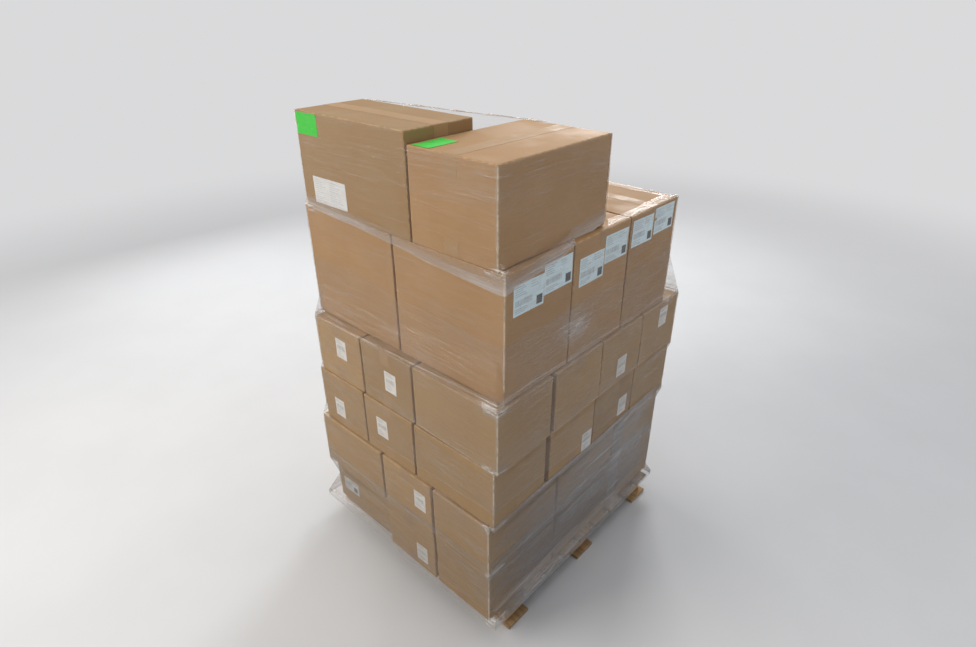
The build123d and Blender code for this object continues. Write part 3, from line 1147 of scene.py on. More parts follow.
@dataclass
class LabelKind:
    """The labels of one CAD node: their print, paper and slot, how their corners lift, and how they lean."""
    node: str
    ink: Ink
    finish: PaperFinish
    slot: Slot = Slot.LABEL_PAPER
    curl: float = 0.5 * MM
    lift: float = 0.3 * MM
    lean: float = 0.018
    thickness: float = 0.2 * MM
    ink_thickness: float = 0.05 * MM
    cells: int = 8
    ink_cells: int = 2

    def boxes(self) -> list[Box]:
        """Finds the lowest and highest corner of each label in the CAD node.

        Returns:
            A box for each label.
        """
        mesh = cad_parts[self.node].data
        points = np.array([v.co for v in mesh.vertices])
        _, same = np.unique(np.round(points, 5), axis=0, return_inverse=True)
        same = same.ravel()
        parent = list(range(int(same.max()) + 1))

        def root(i: int) -> int:
            """Follows a point to the first of its label.

            Args:
                i: The point.

            Returns:
                The first point.
            """
            while parent[i] != i:
                i = parent[i]
            return i

        for edge in mesh.edges:
            a, b = (root(int(same[v])) for v in edge.vertices)
            parent[max(a, b)] = min(a, b)
        owners = np.array([root(int(i)) for i in same])
        labels = [points[owners == owner] for owner in np.unique(owners)]
        return [(label.min(0), label.max(0)) for label in labels]

    def build(self, effects: Effects, ink: Material, middle: np.ndarray) -> None:
        """Builds the paper of all labels of this kind as one piece, and their print as another.

        Args:
            effects: The shared effects.
            ink: The finish of the print.
            middle: A point inside the load, which the labels face away from.
        """
        paper, print_ = Shape(), Shape()
        for number, (low, high) in enumerate(self.boxes()):
            face = int(np.argmin(high - low))
            outward = np.zeros(3)
            outward[face] = 1.0 if (low + high)[face] / 2 > middle[face] else -1.0
            if face == 2:
                right, up = np.array([0.0, 1.0, 0.0]), np.array([-1.0, 0.0, 0.0])
            else:
                up = np.array([0.0, 0.0, 1.0])
                right = np.cross(up, outward)
            centre = (low + high) / 2
            centre[face] = low[face] if outward[face] > 0 else high[face]
            size = (float(np.abs((high - low) @ right)), float(np.abs((high - low) @ up)))
            rng = np.random.default_rng(number + 50)
            lean = rng.normal(0, self.lean)
            leaning = right * math.cos(lean) + up * math.sin(lean)
            up = up * math.cos(lean) - right * math.sin(lean)
            curl = self.curl * rng.uniform(0.2, 1.0)
            sheet = Sheet(centre, leaning, up, outward, size, curl, rng.uniform(0, 6))
            paper.add(*sheet.patch((0, 0, 1, 1), self.lift, self.thickness, self.cells))
            ink_lift = self.lift + self.thickness + self.ink_thickness
            for *area, faint in marks(self.ink, size, rng):
                print_.add(*sheet.patch(area, ink_lift, self.ink_thickness, self.ink_cells), faint=faint)
        paper.piece(f"paper_{self.node}", self.finish.material(effects), self.slot, [self.node], crisp=True)
        if print_.count:
            print_.piece(f"print_{self.node}", ink, self.slot, crisp=True)


@dataclass
class Sheet:
    """A label on a carton's face: its middle, directions and size, how its corners curl, how it ripples."""
    centre: np.ndarray
    right: np.ndarray
    up: np.ndarray
    outward: np.ndarray
    size: Pair
    curl: float
    phase: float
    ripple: float = 0.12

    def patch(self, area: Sequence[float], lift: float, thickness: float,
              cells: int) -> tuple[np.ndarray, np.ndarray]:
        """Builds part of the label.

        Args:
            area: Its left, lower, right and upper edge, as shares of the label.
            lift: How far it is above the carton.
            thickness: How thick it is.
            cells: The number of cells along each side.

        Returns:
            Its points and faces.
        """
        u = np.linspace(area[0], area[2], cells + 1)[None, :, None] - 0.5
        v = np.linspace(area[1], area[3], cells + 1)[:, None, None] - 0.5
        flat = self.centre + self.right * u * self.size[0] + self.up * v * self.size[1]
        normals = np.broadcast_to(self.outward, flat.shape)
        dent = board_dent(flat.reshape(-1, 3), normals.reshape(-1, 3)).reshape(flat.shape)
        corner = (np.abs(u) * 2) ** 4 * (np.abs(v) * 2) ** 4
        wave = np.sin(u * 5 + self.phase) * np.sin(v * 4 + self.phase) * self.ripple * MM
        raised = lift + corner * self.curl + np.abs(wave)
        return thin_sheet(flat + dent + self.outward * raised, normals, thickness)


def marks(ink: Ink, size: Pair, rng: np.random.Generator) -> list[tuple[float, ...]]:
    """Gives the printed areas of a label: rules, bars and a solid square, none of which can be read.

    Args:
        ink: The kind of print.
        size: The label's width and height.
        rng: Gives the lengths of the rules and the widths of the bars.

    Returns:
        The left, lower, right and upper edge of each area, as shares of the label, and how faint its ink is.
    """
    def rules(left: float, right: float, low: float, high: float, count: int, weight: float) -> None:
        """Adds rules of uneven length, one above the other."""
        for y in np.linspace(low, high, count):
            areas.append((left, y, left + (right - left) * rng.uniform(0.45, 1.0), y + weight, faint))

    def bars(left: float, right: float, low: float, high: float, count: int) -> None:
        """Adds upright bars of uneven width.

        Args:
            left: Their left end.
            right: Their right end.
            low: Their lower end.
            high: Their upper end.
            count: How many there are.
        """
        x = left
        pitch = (right - left) / count
        for _ in range(count):
            areas.append((x, low, x + pitch * rng.uniform(0.25, 0.7), high, faint))
            x += pitch

    def block(left: float, low: float, width: float, height: float, weight: float) -> None:
        """Adds a solid block, with its width and height in metres and how faint its ink is."""
        areas.append((left, low, left + width / size[0], low + height / size[1], weight))

    areas: list[tuple[float, ...]] = []
    faint = FAINTNESS[ink]
    if ink is Ink.STOCK:
        rules(0.10, 0.85, 0.80, 0.90, 2, 0.030)
        bars(0.12, 0.88, 0.46, 0.68, 15)
        rules(0.10, 0.80, 0.10, 0.34, 4, 0.022)
    elif ink is Ink.SHIPPING:
        rules(0.05, 0.50, 0.62, 0.90, 5, 0.022)
        rules(0.56, 0.93, 0.74, 0.90, 3, 0.022)
        bars(0.06, 0.62, 0.30, 0.50, 26)
        rules(0.06, 0.56, 0.08, 0.20, 3, 0.020)
        block(0.76, 0.08, 0.028, 0.030, 0.0)
    elif ink is Ink.ROUTING:
        rules(0.06, 0.94, 0.84, 0.84, 1, 0.06)
        bars(0.06, 0.52, 0.42, 0.72, 20)
        rules(0.06, 0.50, 0.10, 0.30, 3, 0.030)
        block(0.64, 0.16, 0.027, 0.027, 0.1)
    elif ink is Ink.CONTENTS:
        rules(0.05, 0.38, 0.10, 0.88, 11, 0.018)
        rules(0.50, 0.90, 0.10, 0.88, 11, 0.018)
    return areas


# Pallet

@dataclass
class Pallet:
    """The wooden block pallet, from the floor up: bottom boards, blocks, stringer boards and deck boards."""
    length: float = 1.100
    width: float = 1.060
    board: float = 0.015
    deck_width: float = 0.095
    deck_count: int = 9
    stringer_width: float = 0.095
    bottom_width: float = 0.120
    block: Triple = (0.080, 0.100, 0.068)
    block_inset: float = 0.030
    edge_radius: float = 1.8 * MM
    spacing: float = 17 * MM
    nail_radius: float = 4.5 * MM
    nail_offset: float = 0.026
    nail_slant: float = 0.6

    def columns(self) -> list[float]:
        """Gives the X of the three columns of blocks."""
        reach = self.length / 2 - self.block[0] / 2 - self.block_inset
        return [-reach, 0.0, reach]

    def rows(self) -> list[float]:
        """Gives the Y of the three rows of blocks."""
        reach = self.width / 2 - self.bottom_width / 2
        return [-reach, 0.0, reach]

    def deck_rows(self) -> list[float]:
        """Gives the Y of the deck boards."""
        reach = self.width / 2 - self.deck_width / 2
        return np.linspace(-reach, reach, self.deck_count).tolist()

    def build(self, boards: Material, blocks: Material, nails: Material) -> None:
        """Builds the four layers and the nail heads.

        Args:
            boards: The finish of the boards.
            blocks: The finish of the blocks.
            nails: The finish of the nail heads.
        """
        t, block_top = self.board, self.board + self.block[2]
        bottom = (self.length, self.bottom_width, t)
        stringer = (self.stringer_width, self.width, t)
        deck = (self.length, self.deck_width, t)
        layers = {
            "bottom_boards": [((0.0, y, t / 2), bottom, 0) for y in self.rows()],
            "blocks": [((x, y, t + self.block[2] / 2), self.block, 1)
                       for y in self.rows() for x in self.columns()],
            "stringer_boards": [((x, 0.0, block_top + t / 2), stringer, 1) for x in self.columns()],
            "deck_boards": [((0.0, y, block_top + 1.5 * t), deck, 0) for y in self.deck_rows()],
        }
        for node, pieces in layers.items():
            shape = Shape()
            for number, (centre, size, along) in enumerate(pieces):
                self.add_board(shape, np.array(centre), np.array(size), along, number + 10 * len(node))
            finish = blocks if node == "blocks" else boards
            shape.piece(f"wood_{node}", finish, Slot.PALLET_WOOD, [node])
        heads = Shape()
        deck_top = 3 * t + self.block[2]
        for y in self.deck_rows():
            for x in self.columns():
                for offset in (-self.nail_offset, self.nail_offset):
                    self.add_nail(heads, np.array([x + offset * self.nail_slant, y + offset, deck_top]))
        heads.piece("nail_heads", nails, Slot.PALLET_WOOD)

    def add_board(self, shape: Shape, centre: np.ndarray, size: np.ndarray, along: int, seed: int) -> None:
        """Adds one rough sawn board or block.

        Args:
            shape: The shape that it goes into.
            centre: Its middle.
            size: Its size.
            along: The axis that its grain runs along.
            seed: Picks its dents, its tone and its grain.
        """
        rng = np.random.default_rng(seed)
        box = RoundedBox(centre - size / 2, centre + size / 2, self.edge_radius, self.spacing)
        points, faces, outward, rim = box.mesh()
        rough = lattice_noise(points * 38.0, seed) * 0.5 + 0.5
        chips = lattice_noise(points * 75.0, seed + 5) * 0.5 + 0.5
        depth = 0.25 * rough + 2.6 * rim * chips ** 4 + 0.5 * rim * rough
        moved = points - outward * (depth * MM)[:, None]
        others = [axis for axis in range(3) if axis != along]
        grain = (points - centre)[:, [others[0], others[1], along]] + rng.uniform(-3, 3, 3)
        shape.add(moved, faces, grain=grain, rim=rim, tone=np.full(len(points), rng.uniform(0.2, 0.9)))

    def add_nail(self, shape: Shape, place: np.ndarray) -> None:
        """Adds one nail head: a low dome that is half sunk in the wood.

        Args:
            shape: The shape that it joins.
            place: The middle of the head.
        """
        rings = ((1.0, -0.9), (1.0, 0.05), (0.7, 0.3), (0.25, 0.4))
        turn = np.linspace(0, 2 * math.pi, 12, endpoint=False)
        r = self.nail_radius
        points = [place + np.array([math.cos(a) * s * r, math.sin(a) * s * r, z * MM])
                  for s, z in rings for a in turn]
        shape.add(np.array(points), grid_faces(len(rings), len(turn), closed=True))
        last = len(rings) * len(turn) - len(turn)
        cap = [[last, last + k, last + k + 1, last + k + 1] for k in range(1, len(turn) - 1)]
        shape.faces.extend([[shape.count - len(turn) + v - last for v in face[:3]] for face in cap])


# Stretch film

ARC_STEP = 15  # degrees between the points of an outline's rounded corners
OUTLINE_SPACING = 0.004


@dataclass
class Ring:
    """A level of the load as film meets it: its outline, its lowest and highest Z, and the slope off it."""
    outline: np.ndarray
    low: float
    high: float
    slope: float = 0.35


def hull(points: np.ndarray) -> np.ndarray:
    """Gives the convex outline round some points, anticlockwise.

    Args:
        points: The points.

    Returns:
        The outline's corners.
    """
    ordered = sorted(map(tuple, np.round(points, 6)))

    def chain(sequence: Iterable[Pair]) -> list[Pair]:
        """Gives one half of the outline.

        Args:
            sequence: The points, in order.

        Returns:
            Those on the outline.
        """
        kept: list[Pair] = []
        for p in sequence:
            while len(kept) > 1 and ((kept[-1][0] - kept[-2][0]) * (p[1] - kept[-2][1])
                                     - (kept[-1][1] - kept[-2][1]) * (p[0] - kept[-2][0])) <= 0:
                kept.pop()
            kept.append(p)
        return kept[:-1]

    return np.array(chain(ordered) + chain(reversed(ordered)))


def rounded_outline(boxes: Iterable[Box], radius: float, clear: float) -> np.ndarray:
    """Gives the outline that film is drawn to round some boxes, with rounded corners and at a clearance.

    Args:
        boxes: The lowest and highest corner of each box.
        radius: The radius of the boxes' upright edges.
        clear: How far the film stays off them.

    Returns:
        Closely spaced points, anticlockwise.
    """
    turns = np.radians(np.arange(0, 360, ARC_STEP))
    arc = np.stack([np.cos(turns), np.sin(turns)], axis=1) * (radius + clear)
    corners = [np.array([x, y]) for low, high in boxes
               for x in (low[0] + radius, high[0] - radius) for y in (low[1] + radius, high[1] - radius)]
    outline = hull(np.vstack([corner + arc for corner in corners]))
    dense = []
    for a, b in zip(outline, np.roll(outline, -1, axis=0)):
        steps = max(1, int(np.linalg.norm(b - a) / OUTLINE_SPACING))
        dense.append(a + (b - a) * (np.arange(steps) / steps)[:, None])
    return np.vstack(dense)


class Turn(Enum):
    """The turns of film, from the lowest up."""
    FOOT = "foot"
    LOW = "low"
    LOWER_MIDDLE = "lower_middle"
    MIDDLE = "middle"
    UPPER_MIDDLE = "upper_middle"
    SHOULDER = "shoulder"
    NECK = "neck"
    TOP = "top"


@dataclass
class Wrap:
    """One turn of film: where its edges run, how far it stands off, and how dense it looks.

    Its edges rise by the two numbers of rise for each metre along X and Y. On the right it is denser by a
    factor, which paints a grey shade and sheen on that side. The hem is how wide the gathered film along its
    lower edge is, and gathered how much of it shows there. The upper turns go round the top cartons.
    """
    turn: Turn
    low: float
    high: float
    rise: Pair
    stand_off: float
    density: float
    right: float
    seed: int
    hem: float = 4.0 * MM
    upper: bool = False
    gathered: float = 1.0


@dataclass(frozen=True)
class Folds:
    """One kind of wrinkle: its length along the film, its height, its seed, and how deep it is in mm.

    Where it is made of ridges, they have a sharpness, and what lies between them is sunk.
    """
    along: float
    up: float
    seed: int
    depth_mm: float = 1.0
    sharpness: float = 1.0
    sunk: float = 0.0


@dataclass(frozen=True)
class Askew:
    """Folds that slant on the left: their slope and seed, where they start, and how far on they are full.

    Each is a ridge along the film and narrow across it, in patches of a length and a height.
    """
    slope: float
    seed: int
    start: float
    rise: float
    along: float = 0.34
    across: float = 0.017
    patch: Pair = (0.30, 0.16)
    sharpness: float = 5.0


@dataclass(frozen=True)
class Crumpling:
    """How much each thing crumples the film: steps, corners, the foot, its corners, folds askew, patches."""
    steps: float = 0.18
    corners: float = 1.25
    foot: float = 0.25
    foot_corners: float = 0.5
    askew: float = 0.8
    patches: float = 0.16


@dataclass
class Lay:
    """How a turn lies on the load before it is wrinkled: rows of points, in columns round the load.

    Length is the film's length round the load, distance and level are places along the film and up it, and
    share is how far up the turn a row is. Free says how far the film spans air, corner how near a corner it
    is, and left how far it faces left, all from 0 to 1.
    """
    length: float
    distance: np.ndarray
    level: np.ndarray
    share: np.ndarray
    y: np.ndarray
    z: np.ndarray
    free: np.ndarray
    corner: np.ndarray
    left: np.ndarray


@dataclass
class StretchFilm:
    """The film round the load: turns that bridge from tier to tier, a hem at the deck, a lap on top.

    Fields that end in facing hold the cosine at which the film starts to face that way, and how much more
    makes it face it fully. Fields that end in mm are in millimetres, and the others in metres or shares. The
    upper turns stand out from the top cartons by upper_reach at most, and by less behind them. Film that is
    level with no tier counts as hanging that far out, and from free_depth on it fully spans air.
    """
    corner_radius: float = 5.0 * MM
    clear: float = 1.3 * MM
    column_spacing: float = 9.0 * MM
    corner_spacing: float = 2.4 * MM
    corner_reach: float = 22.0 * MM
    row_spacing: float = 8.0 * MM
    skirt_drop: float = 25.0 * MM
    skirt_slope: float = 0.64
    lap: float = 45.0 * MM
    lap_lift: float = 1.5 * MM
    beside: float = 0.02
    edge_drop: float = 2 * MM
    top_centre: Pair = (0.04, -0.30)
    upper_reach: float = 0.045
    upper_reach_lost: float = 0.041
    behind_from: float = -0.30
    behind_blend: float = 0.10
    right_facing: Pair = (0.62, 0.22)
    left_facing: Pair = (0.55, 0.25)
    sways: int = 14
    sway_mm: float = 6.0
    hanging: float = 8 * MM
    free_depth: float = 5 * MM
    # the painted highlight line along the corners: its width, how far it runs off a tier, and how much fades
    # where the film spans air
    line_width: float = 2.8 * MM
    line_run: float = 15 * MM
    line_lost: float = 0.85
    upper_fade: float = 0.55
    gap_density: float = 0.35
    gap_edge: float = 8 * MM
    # the painted glare on the right of the large cartons: its middle, reach, slant and streaks, and how much
    # whiter and more crumpled it paints the film
    patch_middle: Pair = (-0.20, 1.262)
    patch_reach: Pair = (0.090, 0.060)
    patch_tilt: float = 0.18
    patch_streaks: Pair = (0.08, 0.011)
    glare_whitening: float = 1.2
    glare_crumple: float = 0.30
    step_reach: float = 0.020
    foot_reach: float = 0.022
    top_hem: float = 0.25
    top_hem_width: float = 4 * MM
    hem_folds: Folds = Folds(0.12, 0.05, 9, 0.5)
    tension: Folds = Folds(0.75, 0.021, 1, 0.45, 3.0)
    slack: Folds = Folds(0.30, 0.14, 2, 0.5)
    ripples: Folds = Folds(0.045, 0.11, 3, 1.3, 2.0, 0.35)
    crushed: Folds = Folds(0.016, 0.022, 4, 2.6, 1.5, 0.3)
    bunched: Folds = Folds(0.028, 0.05, 5, 1.6, 1.5, 0.3)
    patches: Folds = Folds(0.9, 0.10, 6)
    askew_mm: float = 1.5
    askew_high: Askew = Askew(0.15, 0, 0.34, 0.08)
    askew_low: Askew = Askew(-0.40, 50, 0.42, -0.08)
    crumpling: Crumpling = Crumpling()
    rope_mm: float = 2.2
    rope_lump: float = 0.03
    rope_oval: float = 0.45
    rope_lift: float = 1.5 * MM
    rope_taper: float = 0.05
    rope_pitch: float = 0.05

    def __post_init__(self) -> None:
        """Works out the outline round each tier, and where the film starts and ends."""
        def boxes(prefix: str) -> list[Box]:
            """Gives the boxes of the cartons whose names start so."""
            return [box_of(name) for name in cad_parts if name.startswith(prefix)]

        tiers = [boxes(f"tier{number}_") for number in range(1, 6)]
        levels = [(float(min(b[0][2] for b in tier)), float(max(b[1][2] for b in tier))) for tier in tiers]
        outlines = [rounded_outline(tier, self.corner_radius, self.clear) for tier in tiers]
        self.rings = [Ring(outline, *level) for outline, level in zip(outlines, levels)]
        deck_low, deck_high = box_of("deck_boards")
        first = outlines[0]
        skirt = (np.array([deck_low[0], first[:, 1].min() + self.clear, 0]),
                 np.array([deck_high[0], first[:, 1].max() - self.clear, 0]))
        deck_top = float(deck_high[2])
        self.skirt_low = deck_top - self.skirt_drop
        self.rings.insert(0, Ring(rounded_outline([skirt], self.corner_radius, self.clear),
                                  self.skirt_low - 0.02, deck_top, self.skirt_slope))
        self.shoulder = levels[-1][1]
        self.left_top, self.right_top = box_of("top_carton_left"), box_of("top_carton_right")
        pair = rounded_outline([self.left_top, self.right_top], self.corner_radius, self.clear)
        self.top_rings = [self.rings[-1], Ring(pair, self.shoulder, float(self.left_top[1][2]) + 0.05)]
        self.steps = [level[0] for level in levels] + [self.shoulder]

    def wraps(self) -> list[Wrap]:
        """Gives the turns of film, from the lowest up.

        Returns:
            The turns.
        """
        s = self.shoulder
        return [
            # the seventh numbers, the right factors, paint a grey shade and sheen on the right side
            Wrap(Turn.FOOT, self.skirt_low, 0.43, (0.0, 0.0), 0.3 * MM, 2.20, 3.2, 1),
            Wrap(Turn.LOW, 0.15, 0.62, (0.045, 0.02), 1.0 * MM, 1.40, 5.0, 2),
            Wrap(Turn.LOWER_MIDDLE, 0.42, 0.87, (-0.03, 0.03), 0.2 * MM, 0.90, 1.5, 3),
            Wrap(Turn.MIDDLE, 0.66, 1.12, (0.05, -0.02), 0.9 * MM, 0.85, 1.4, 4),
            Wrap(Turn.UPPER_MIDDLE, 0.90, 1.36, (-0.04, 0.02), 0.3 * MM, 0.85, 1.4, 5),
            Wrap(Turn.SHOULDER, 1.13, s, (0.03, 0.0), 1.0 * MM, 0.85, 1.5, 6),
            Wrap(Turn.NECK, s + 0.056, s + 0.25, (-0.066, 0.15), 1.7 * MM, 0.55, 1.8, 7,
                 hem=34.0 * MM, upper=True, gathered=1.7),
            Wrap(Turn.TOP, s + 0.07, s + 0.31, (0.02, 0.02), 0.4 * MM, 1.05, 1.2, 8,
                 upper=True, gathered=0.35),
        ]

    def build(self, film: Material) -> None:
        """Builds each turn as a piece; together they stand for the CAD node.

        Args:
            film: The finish of the film.
        """
        for wrap in self.wraps():
            shape = self.turn(wrap)
            shape.piece(f"film_{wrap.turn.value}", film, Slot.FILM, ["stretch_film"])

    def columns(self, rings: list[Ring], centre: np.ndarray) -> tuple[np.ndarray, np.ndarray, np.ndarray]:
        """Gives the film's upright columns, closer together at the corners.

        Args:
            rings: The levels that the film meets.
            centre: The point that the columns stand round.

        Returns:
            Each column's direction, its distance along the film, and how near a corner it is.
        """
        angles = np.linspace(-math.pi, math.pi, 4001)[:-1]
        reference = self.radius(rings[-1], centre, angles)
        near = np.max([self.corner_share(ring, centre, angles, self.corner_reach) for ring in rings], axis=0)
        extra = 1 / self.corner_spacing - 1 / self.column_spacing
        weight = reference * (1 / self.column_spacing + near * extra)
        total = np.concatenate([[0], np.cumsum(weight)]) * (2 * math.pi / len(angles))
        count = int(total[-1])
        wanted = np.arange(count) / count * total[-1]
        chosen = np.interp(wanted, total, np.append(angles, math.pi))
        along = np.concatenate([[0], np.cumsum(reference)]) * (2 * math.pi / len(angles))
        distance = np.interp(chosen, np.append(angles, math.pi), along)
        return chosen, distance, np.interp(chosen, angles, near)

    @staticmethod
    def corner_share(ring: Ring, centre: np.ndarray, angles: np.ndarray, width: float) -> np.ndarray:
        """Gives how near some directions are to a corner of a ring's outline, from 0 to 1 over a width.

        Args:
            ring: The outline.
            centre: The load's middle.
            angles: The directions, as angles round it.
            width: How far a corner reaches.

        Returns:
            One share for each direction.
        """
        offset = ring.outline - centre
        before = np.arctan2(*(offset - np.roll(offset, 1, axis=0)).T[::-1])
        after = np.roll(before, -1)
        bend = (after - before + math.pi) % (2 * math.pi) - math.pi
        middle = np.degrees(before + bend / 2) % 90
        near = np.zeros(len(angles))
        for corner in offset[(bend > 0.15) & (np.abs(middle - 45) < 9)]:
            turn = math.atan2(corner[1], corner[0])
            apart = np.abs((angles - turn + math.pi) % (2 * math.pi) - math.pi) * np.linalg.norm(corner)
            near = np.maximum(near, np.exp(-(apart / width) ** 2))
        return near

    @staticmethod
    def radius(ring: Ring, centre: np.ndarray, angles: np.ndarray) -> np.ndarray:
        """Gives how far a ring's outline is from a centre, in some directions.

        Args:
            ring: The outline.
            centre: The centre.
            angles: The directions, as angles round it.

        Returns:
            One distance for each direction.
        """
        offset = ring.outline - centre
        turn = np.arctan2(offset[:, 1], offset[:, 0])
        order = np.argsort(turn)
        turn, reach = turn[order], np.linalg.norm(offset, axis=1)[order]
        turn = np.concatenate([[turn[-1] - 2 * math.pi], turn, [turn[0] + 2 * math.pi]])
        reach = np.concatenate([[reach[-1]], reach, [reach[0]]])
        return np.interp(angles, turn, reach)

    def behind(self, y: np.ndarray) -> np.ndarray:
        """Gives how far places at some Y are behind the top cartons, from 0 to 1."""
        return unit((y - self.behind_from) / self.behind_blend)

    def turn(self, wrap: Wrap) -> Shape:
        """Builds one turn of film.

        Args:
            wrap: What the turn is like.

        Returns:
            Its shape, with the values that its finish reads.
        """
        centre = np.array(self.top_centre if wrap.upper else (0.0, 0.0))
        rings = self.top_rings if wrap.upper else self.rings
        angles, distance, corner = self.columns(rings, centre)
        length = float(distance[-1] + distance[1] - distance[0])
        radii = [self.radius(ring, centre, angles) for ring in rings]
        cosines, sines = np.cos(angles), np.sin(angles)
        x, y = centre[:, None] + radii[-1] * np.stack([cosines, sines])
        slant = wrap.rise[0] * x + wrap.rise[1] * y
        sway = field_noise(distance / length * self.sways, 0.5, wrap.seed, self.sways)
        low = wrap.low + slant + sway * self.sway_mm * MM
        high = wrap.high + slant + np.roll(sway, 40) * self.sway_mm * MM
        low, high = self.limits(wrap, low, high, x, y, sway)
        rows = int(round(float(np.max(high - low)) / self.row_spacing))
        share = np.linspace(0, 1, rows + 1)[:, None]
        z = low + (high - low) * share
        if wrap.upper:
            limit = radii[-1] + self.upper_reach - self.upper_reach_lost * self.behind(y)
            radii = [np.where(self.away(ring, z) > 0, np.minimum(radius, limit), radius)
                     for ring, radius in zip(rings, radii)]
        narrow = [self.corner_share(ring, centre, angles, self.line_width) for ring in rings]
        reach, free, line = self.drape(rings, radii, narrow, z)
        level = z - slant * (share * 0.5 + 0.25)
        left = np.zeros(len(angles)) if wrap.upper else self.facing(-cosines, self.left_facing)
        lay = Lay(length, np.broadcast_to(distance, z.shape), level, share, y, z, free, corner, left)
        moved, crumple, edge = self.wrinkles(wrap, lay)
        outward, height = reach + wrap.stand_off + moved, z
        right = self.facing(cosines, self.right_facing)
        if wrap.turn is Turn.SHOULDER:
            over = np.maximum(z - self.shoulder, 0)
            outward = outward - over
            height = np.where(over > 0, self.shoulder + self.lap_lift + moved, z)
            # a painted glare on the right of the large cartons, as whiter, more crumpled film
            glare_share = right * self.painted_glare_patch(y, z)
            edge = edge + self.glare_whitening * glare_share
            crumple = unit(crumple + self.glare_crumple * glare_share)
        points = np.stack([centre[0] + outward * cosines, centre[1] + outward * sines, height], axis=-1)
        # extra density on the right: painted grey shade and sheen on that side
        layers = wrap.density * (1 + (wrap.right - 1) * right * right * (3 - 2 * right))
        layers = layers * (1 + self.gap_density * self.gap_share(y, right) * (z < self.rings[2].high))
        if wrap.upper:
            layers = layers * unit((1 - share if wrap.turn is Turn.NECK else share) / self.upper_fade)
        shape = Shape()
        shape.add(points.reshape(-1, 3), grid_faces(rows + 1, len(angles), closed=True), height=level.ravel(),
                  crumple=crumple.ravel(), edge=edge.ravel(), line=line.ravel(), layers=layers.ravel())
        if wrap.turn is Turn.TOP:
            self.add_rope(shape, self.rope_path(points[-1]), wrap.seed)
        return shape

    @staticmethod
    def facing(cosines: np.ndarray, limits: Pair) -> np.ndarray:
        """Gives how far the film faces one way, from 0 to 1, from the cosine of its direction to that way."""
        start, more = limits
        return unit((cosines - start) / more)

    @staticmethod
    def away(ring: Ring, z: np.ndarray) -> np.ndarray:
        """Gives how far some heights are above or below a ring."""
        return np.maximum(np.maximum(ring.low - z, z - ring.high), 0)

    def drape(self, rings: list[Ring], radii: list[np.ndarray], corners: list[np.ndarray],
              z: np.ndarray) -> tuple[np.ndarray, np.ndarray, np.ndarray]:
        """Draws the film over the levels of the load.

        Args:
            rings: The levels that it meets.
            radii: How far out each of them is, for each column or point.
            corners: How near the line of one of their corners each column is, from 0 to 1.
            z: The height of each point.

        Returns:
            How far out the film is, how far it spans air, and how strong the painted highlight line along a
            corner is, from 0 to 1.
        """
        reach = np.full(z.shape, -1.0)
        contact = np.full(z.shape, -1.0)
        line = np.zeros(z.shape)
        for ring, radius, corner in zip(rings, radii, corners):
            away = self.away(ring, z)
            spanned = radius - ring.slope * away
            line = np.where(spanned > reach, corner * unit(1 - away / self.line_run), line)
            reach = np.maximum(reach, spanned)
            contact = np.maximum(contact, np.where(away <= 0, radius, -1.0))
        contact = np.where(contact < 0, reach - self.hanging, contact)
        free = unit((reach - contact) / self.free_depth)
        return reach, free, line * (1 - self.line_lost * free)

    def gap_share(self, y: np.ndarray, right: np.ndarray) -> np.ndarray:
        """Gives 1 where the film spans the gap in the right side of the lowest tiers, and looks denser."""
        start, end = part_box("tier1_right_2")[1][1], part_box("tier1_back_right")[0][1]
        return right * unit((y - start) / self.gap_edge + 0.5) * unit((end - y) / self.gap_edge + 0.5)

    def painted_glare_patch(self, y: np.ndarray, z: np.ndarray) -> np.ndarray:
        """Gives a painted glare: a soft bright patch on the right of the large cartons, drawn as whiter, more
        crumpled film.

        Args:
            y: Where each column is from the front to the back.
            z: The height of each point.

        Returns:
            How strong the painted glare is there, from 0 to about 1.
        """
        across = (y - self.patch_middle[0]) / self.patch_reach[0]
        up = (z + self.patch_tilt * (y - self.patch_middle[0]) - self.patch_middle[1]) / self.patch_reach[1]
        long, thin = self.patch_streaks
        streaks = field_noise(y / long, (z - 0.3 * y) / thin, 901)
        return np.exp(-across ** 2 - up ** 2) * (1.0 + 0.45 * streaks)

    def rope_path(self, edge: np.ndarray) -> np.ndarray:
        """Gives the part of the top turn's upper edge that spans from one top carton to the other.

        Args:
            edge: The upper edge.

        Returns:
            The points of that part.
        """
        left_back = self.left_top[1][1] - 0.01
        end = self.right_top[0][0] + (self.right_top[1][0] - self.right_top[0][0]) / 3
        back = np.nonzero((edge[:, 1] > left_back) & (edge[:, 0] < end))[0]
        return edge[back[np.argsort(edge[back, 0])]]

    def add_rope(self, shape: Shape, path: np.ndarray, seed: int) -> None:
        """Adds the twisted edge of the film where it spans from one top carton to the other.

        Args:
            shape: The shape that it goes into.
            path: The points that it follows.
            seed: Picks its lumps.
        """
        turns = np.linspace(0, 2 * math.pi, 9)[:-1]
        run = np.concatenate([[0], np.cumsum(np.linalg.norm(np.diff(path, axis=0), axis=1))])
        lumps = field_noise(run / self.rope_lump, 0.5, seed)
        ends = np.clip(np.minimum(run, run[-1] - run) / self.rope_taper, 0.06, 1)
        radius = (self.rope_mm + lumps) * MM * ends
        twist = run / self.rope_pitch
        along = np.gradient(path, axis=0)
        along /= np.maximum(np.linalg.norm(along, axis=1, keepdims=True), 1e-9)
        side = np.cross(along, (0, 0, 1))
        up = np.cross(side, along)
        oval = 1 + self.rope_oval * np.cos(2 * (turns[None, :] + twist[:, None]))
        ring = (side[:, None] * np.cos(turns)[None, :, None] + up[:, None] * np.sin(turns)[None, :, None])
        lift = np.array([0, 0, self.rope_lift])
        points = path[:, None] + ring * (radius[:, None] * oval)[..., None] + lift
        count = len(path) * len(turns)
        shape.add(points.reshape(-1, 3), grid_faces(len(path), len(turns), closed=True)[:, ::-1],
                  height=np.repeat(path[:, 2] + run * 0.4, len(turns)), crumple=np.full(count, 0.9),
                  edge=np.ones(count), line=np.zeros(count), layers=np.ones(count))

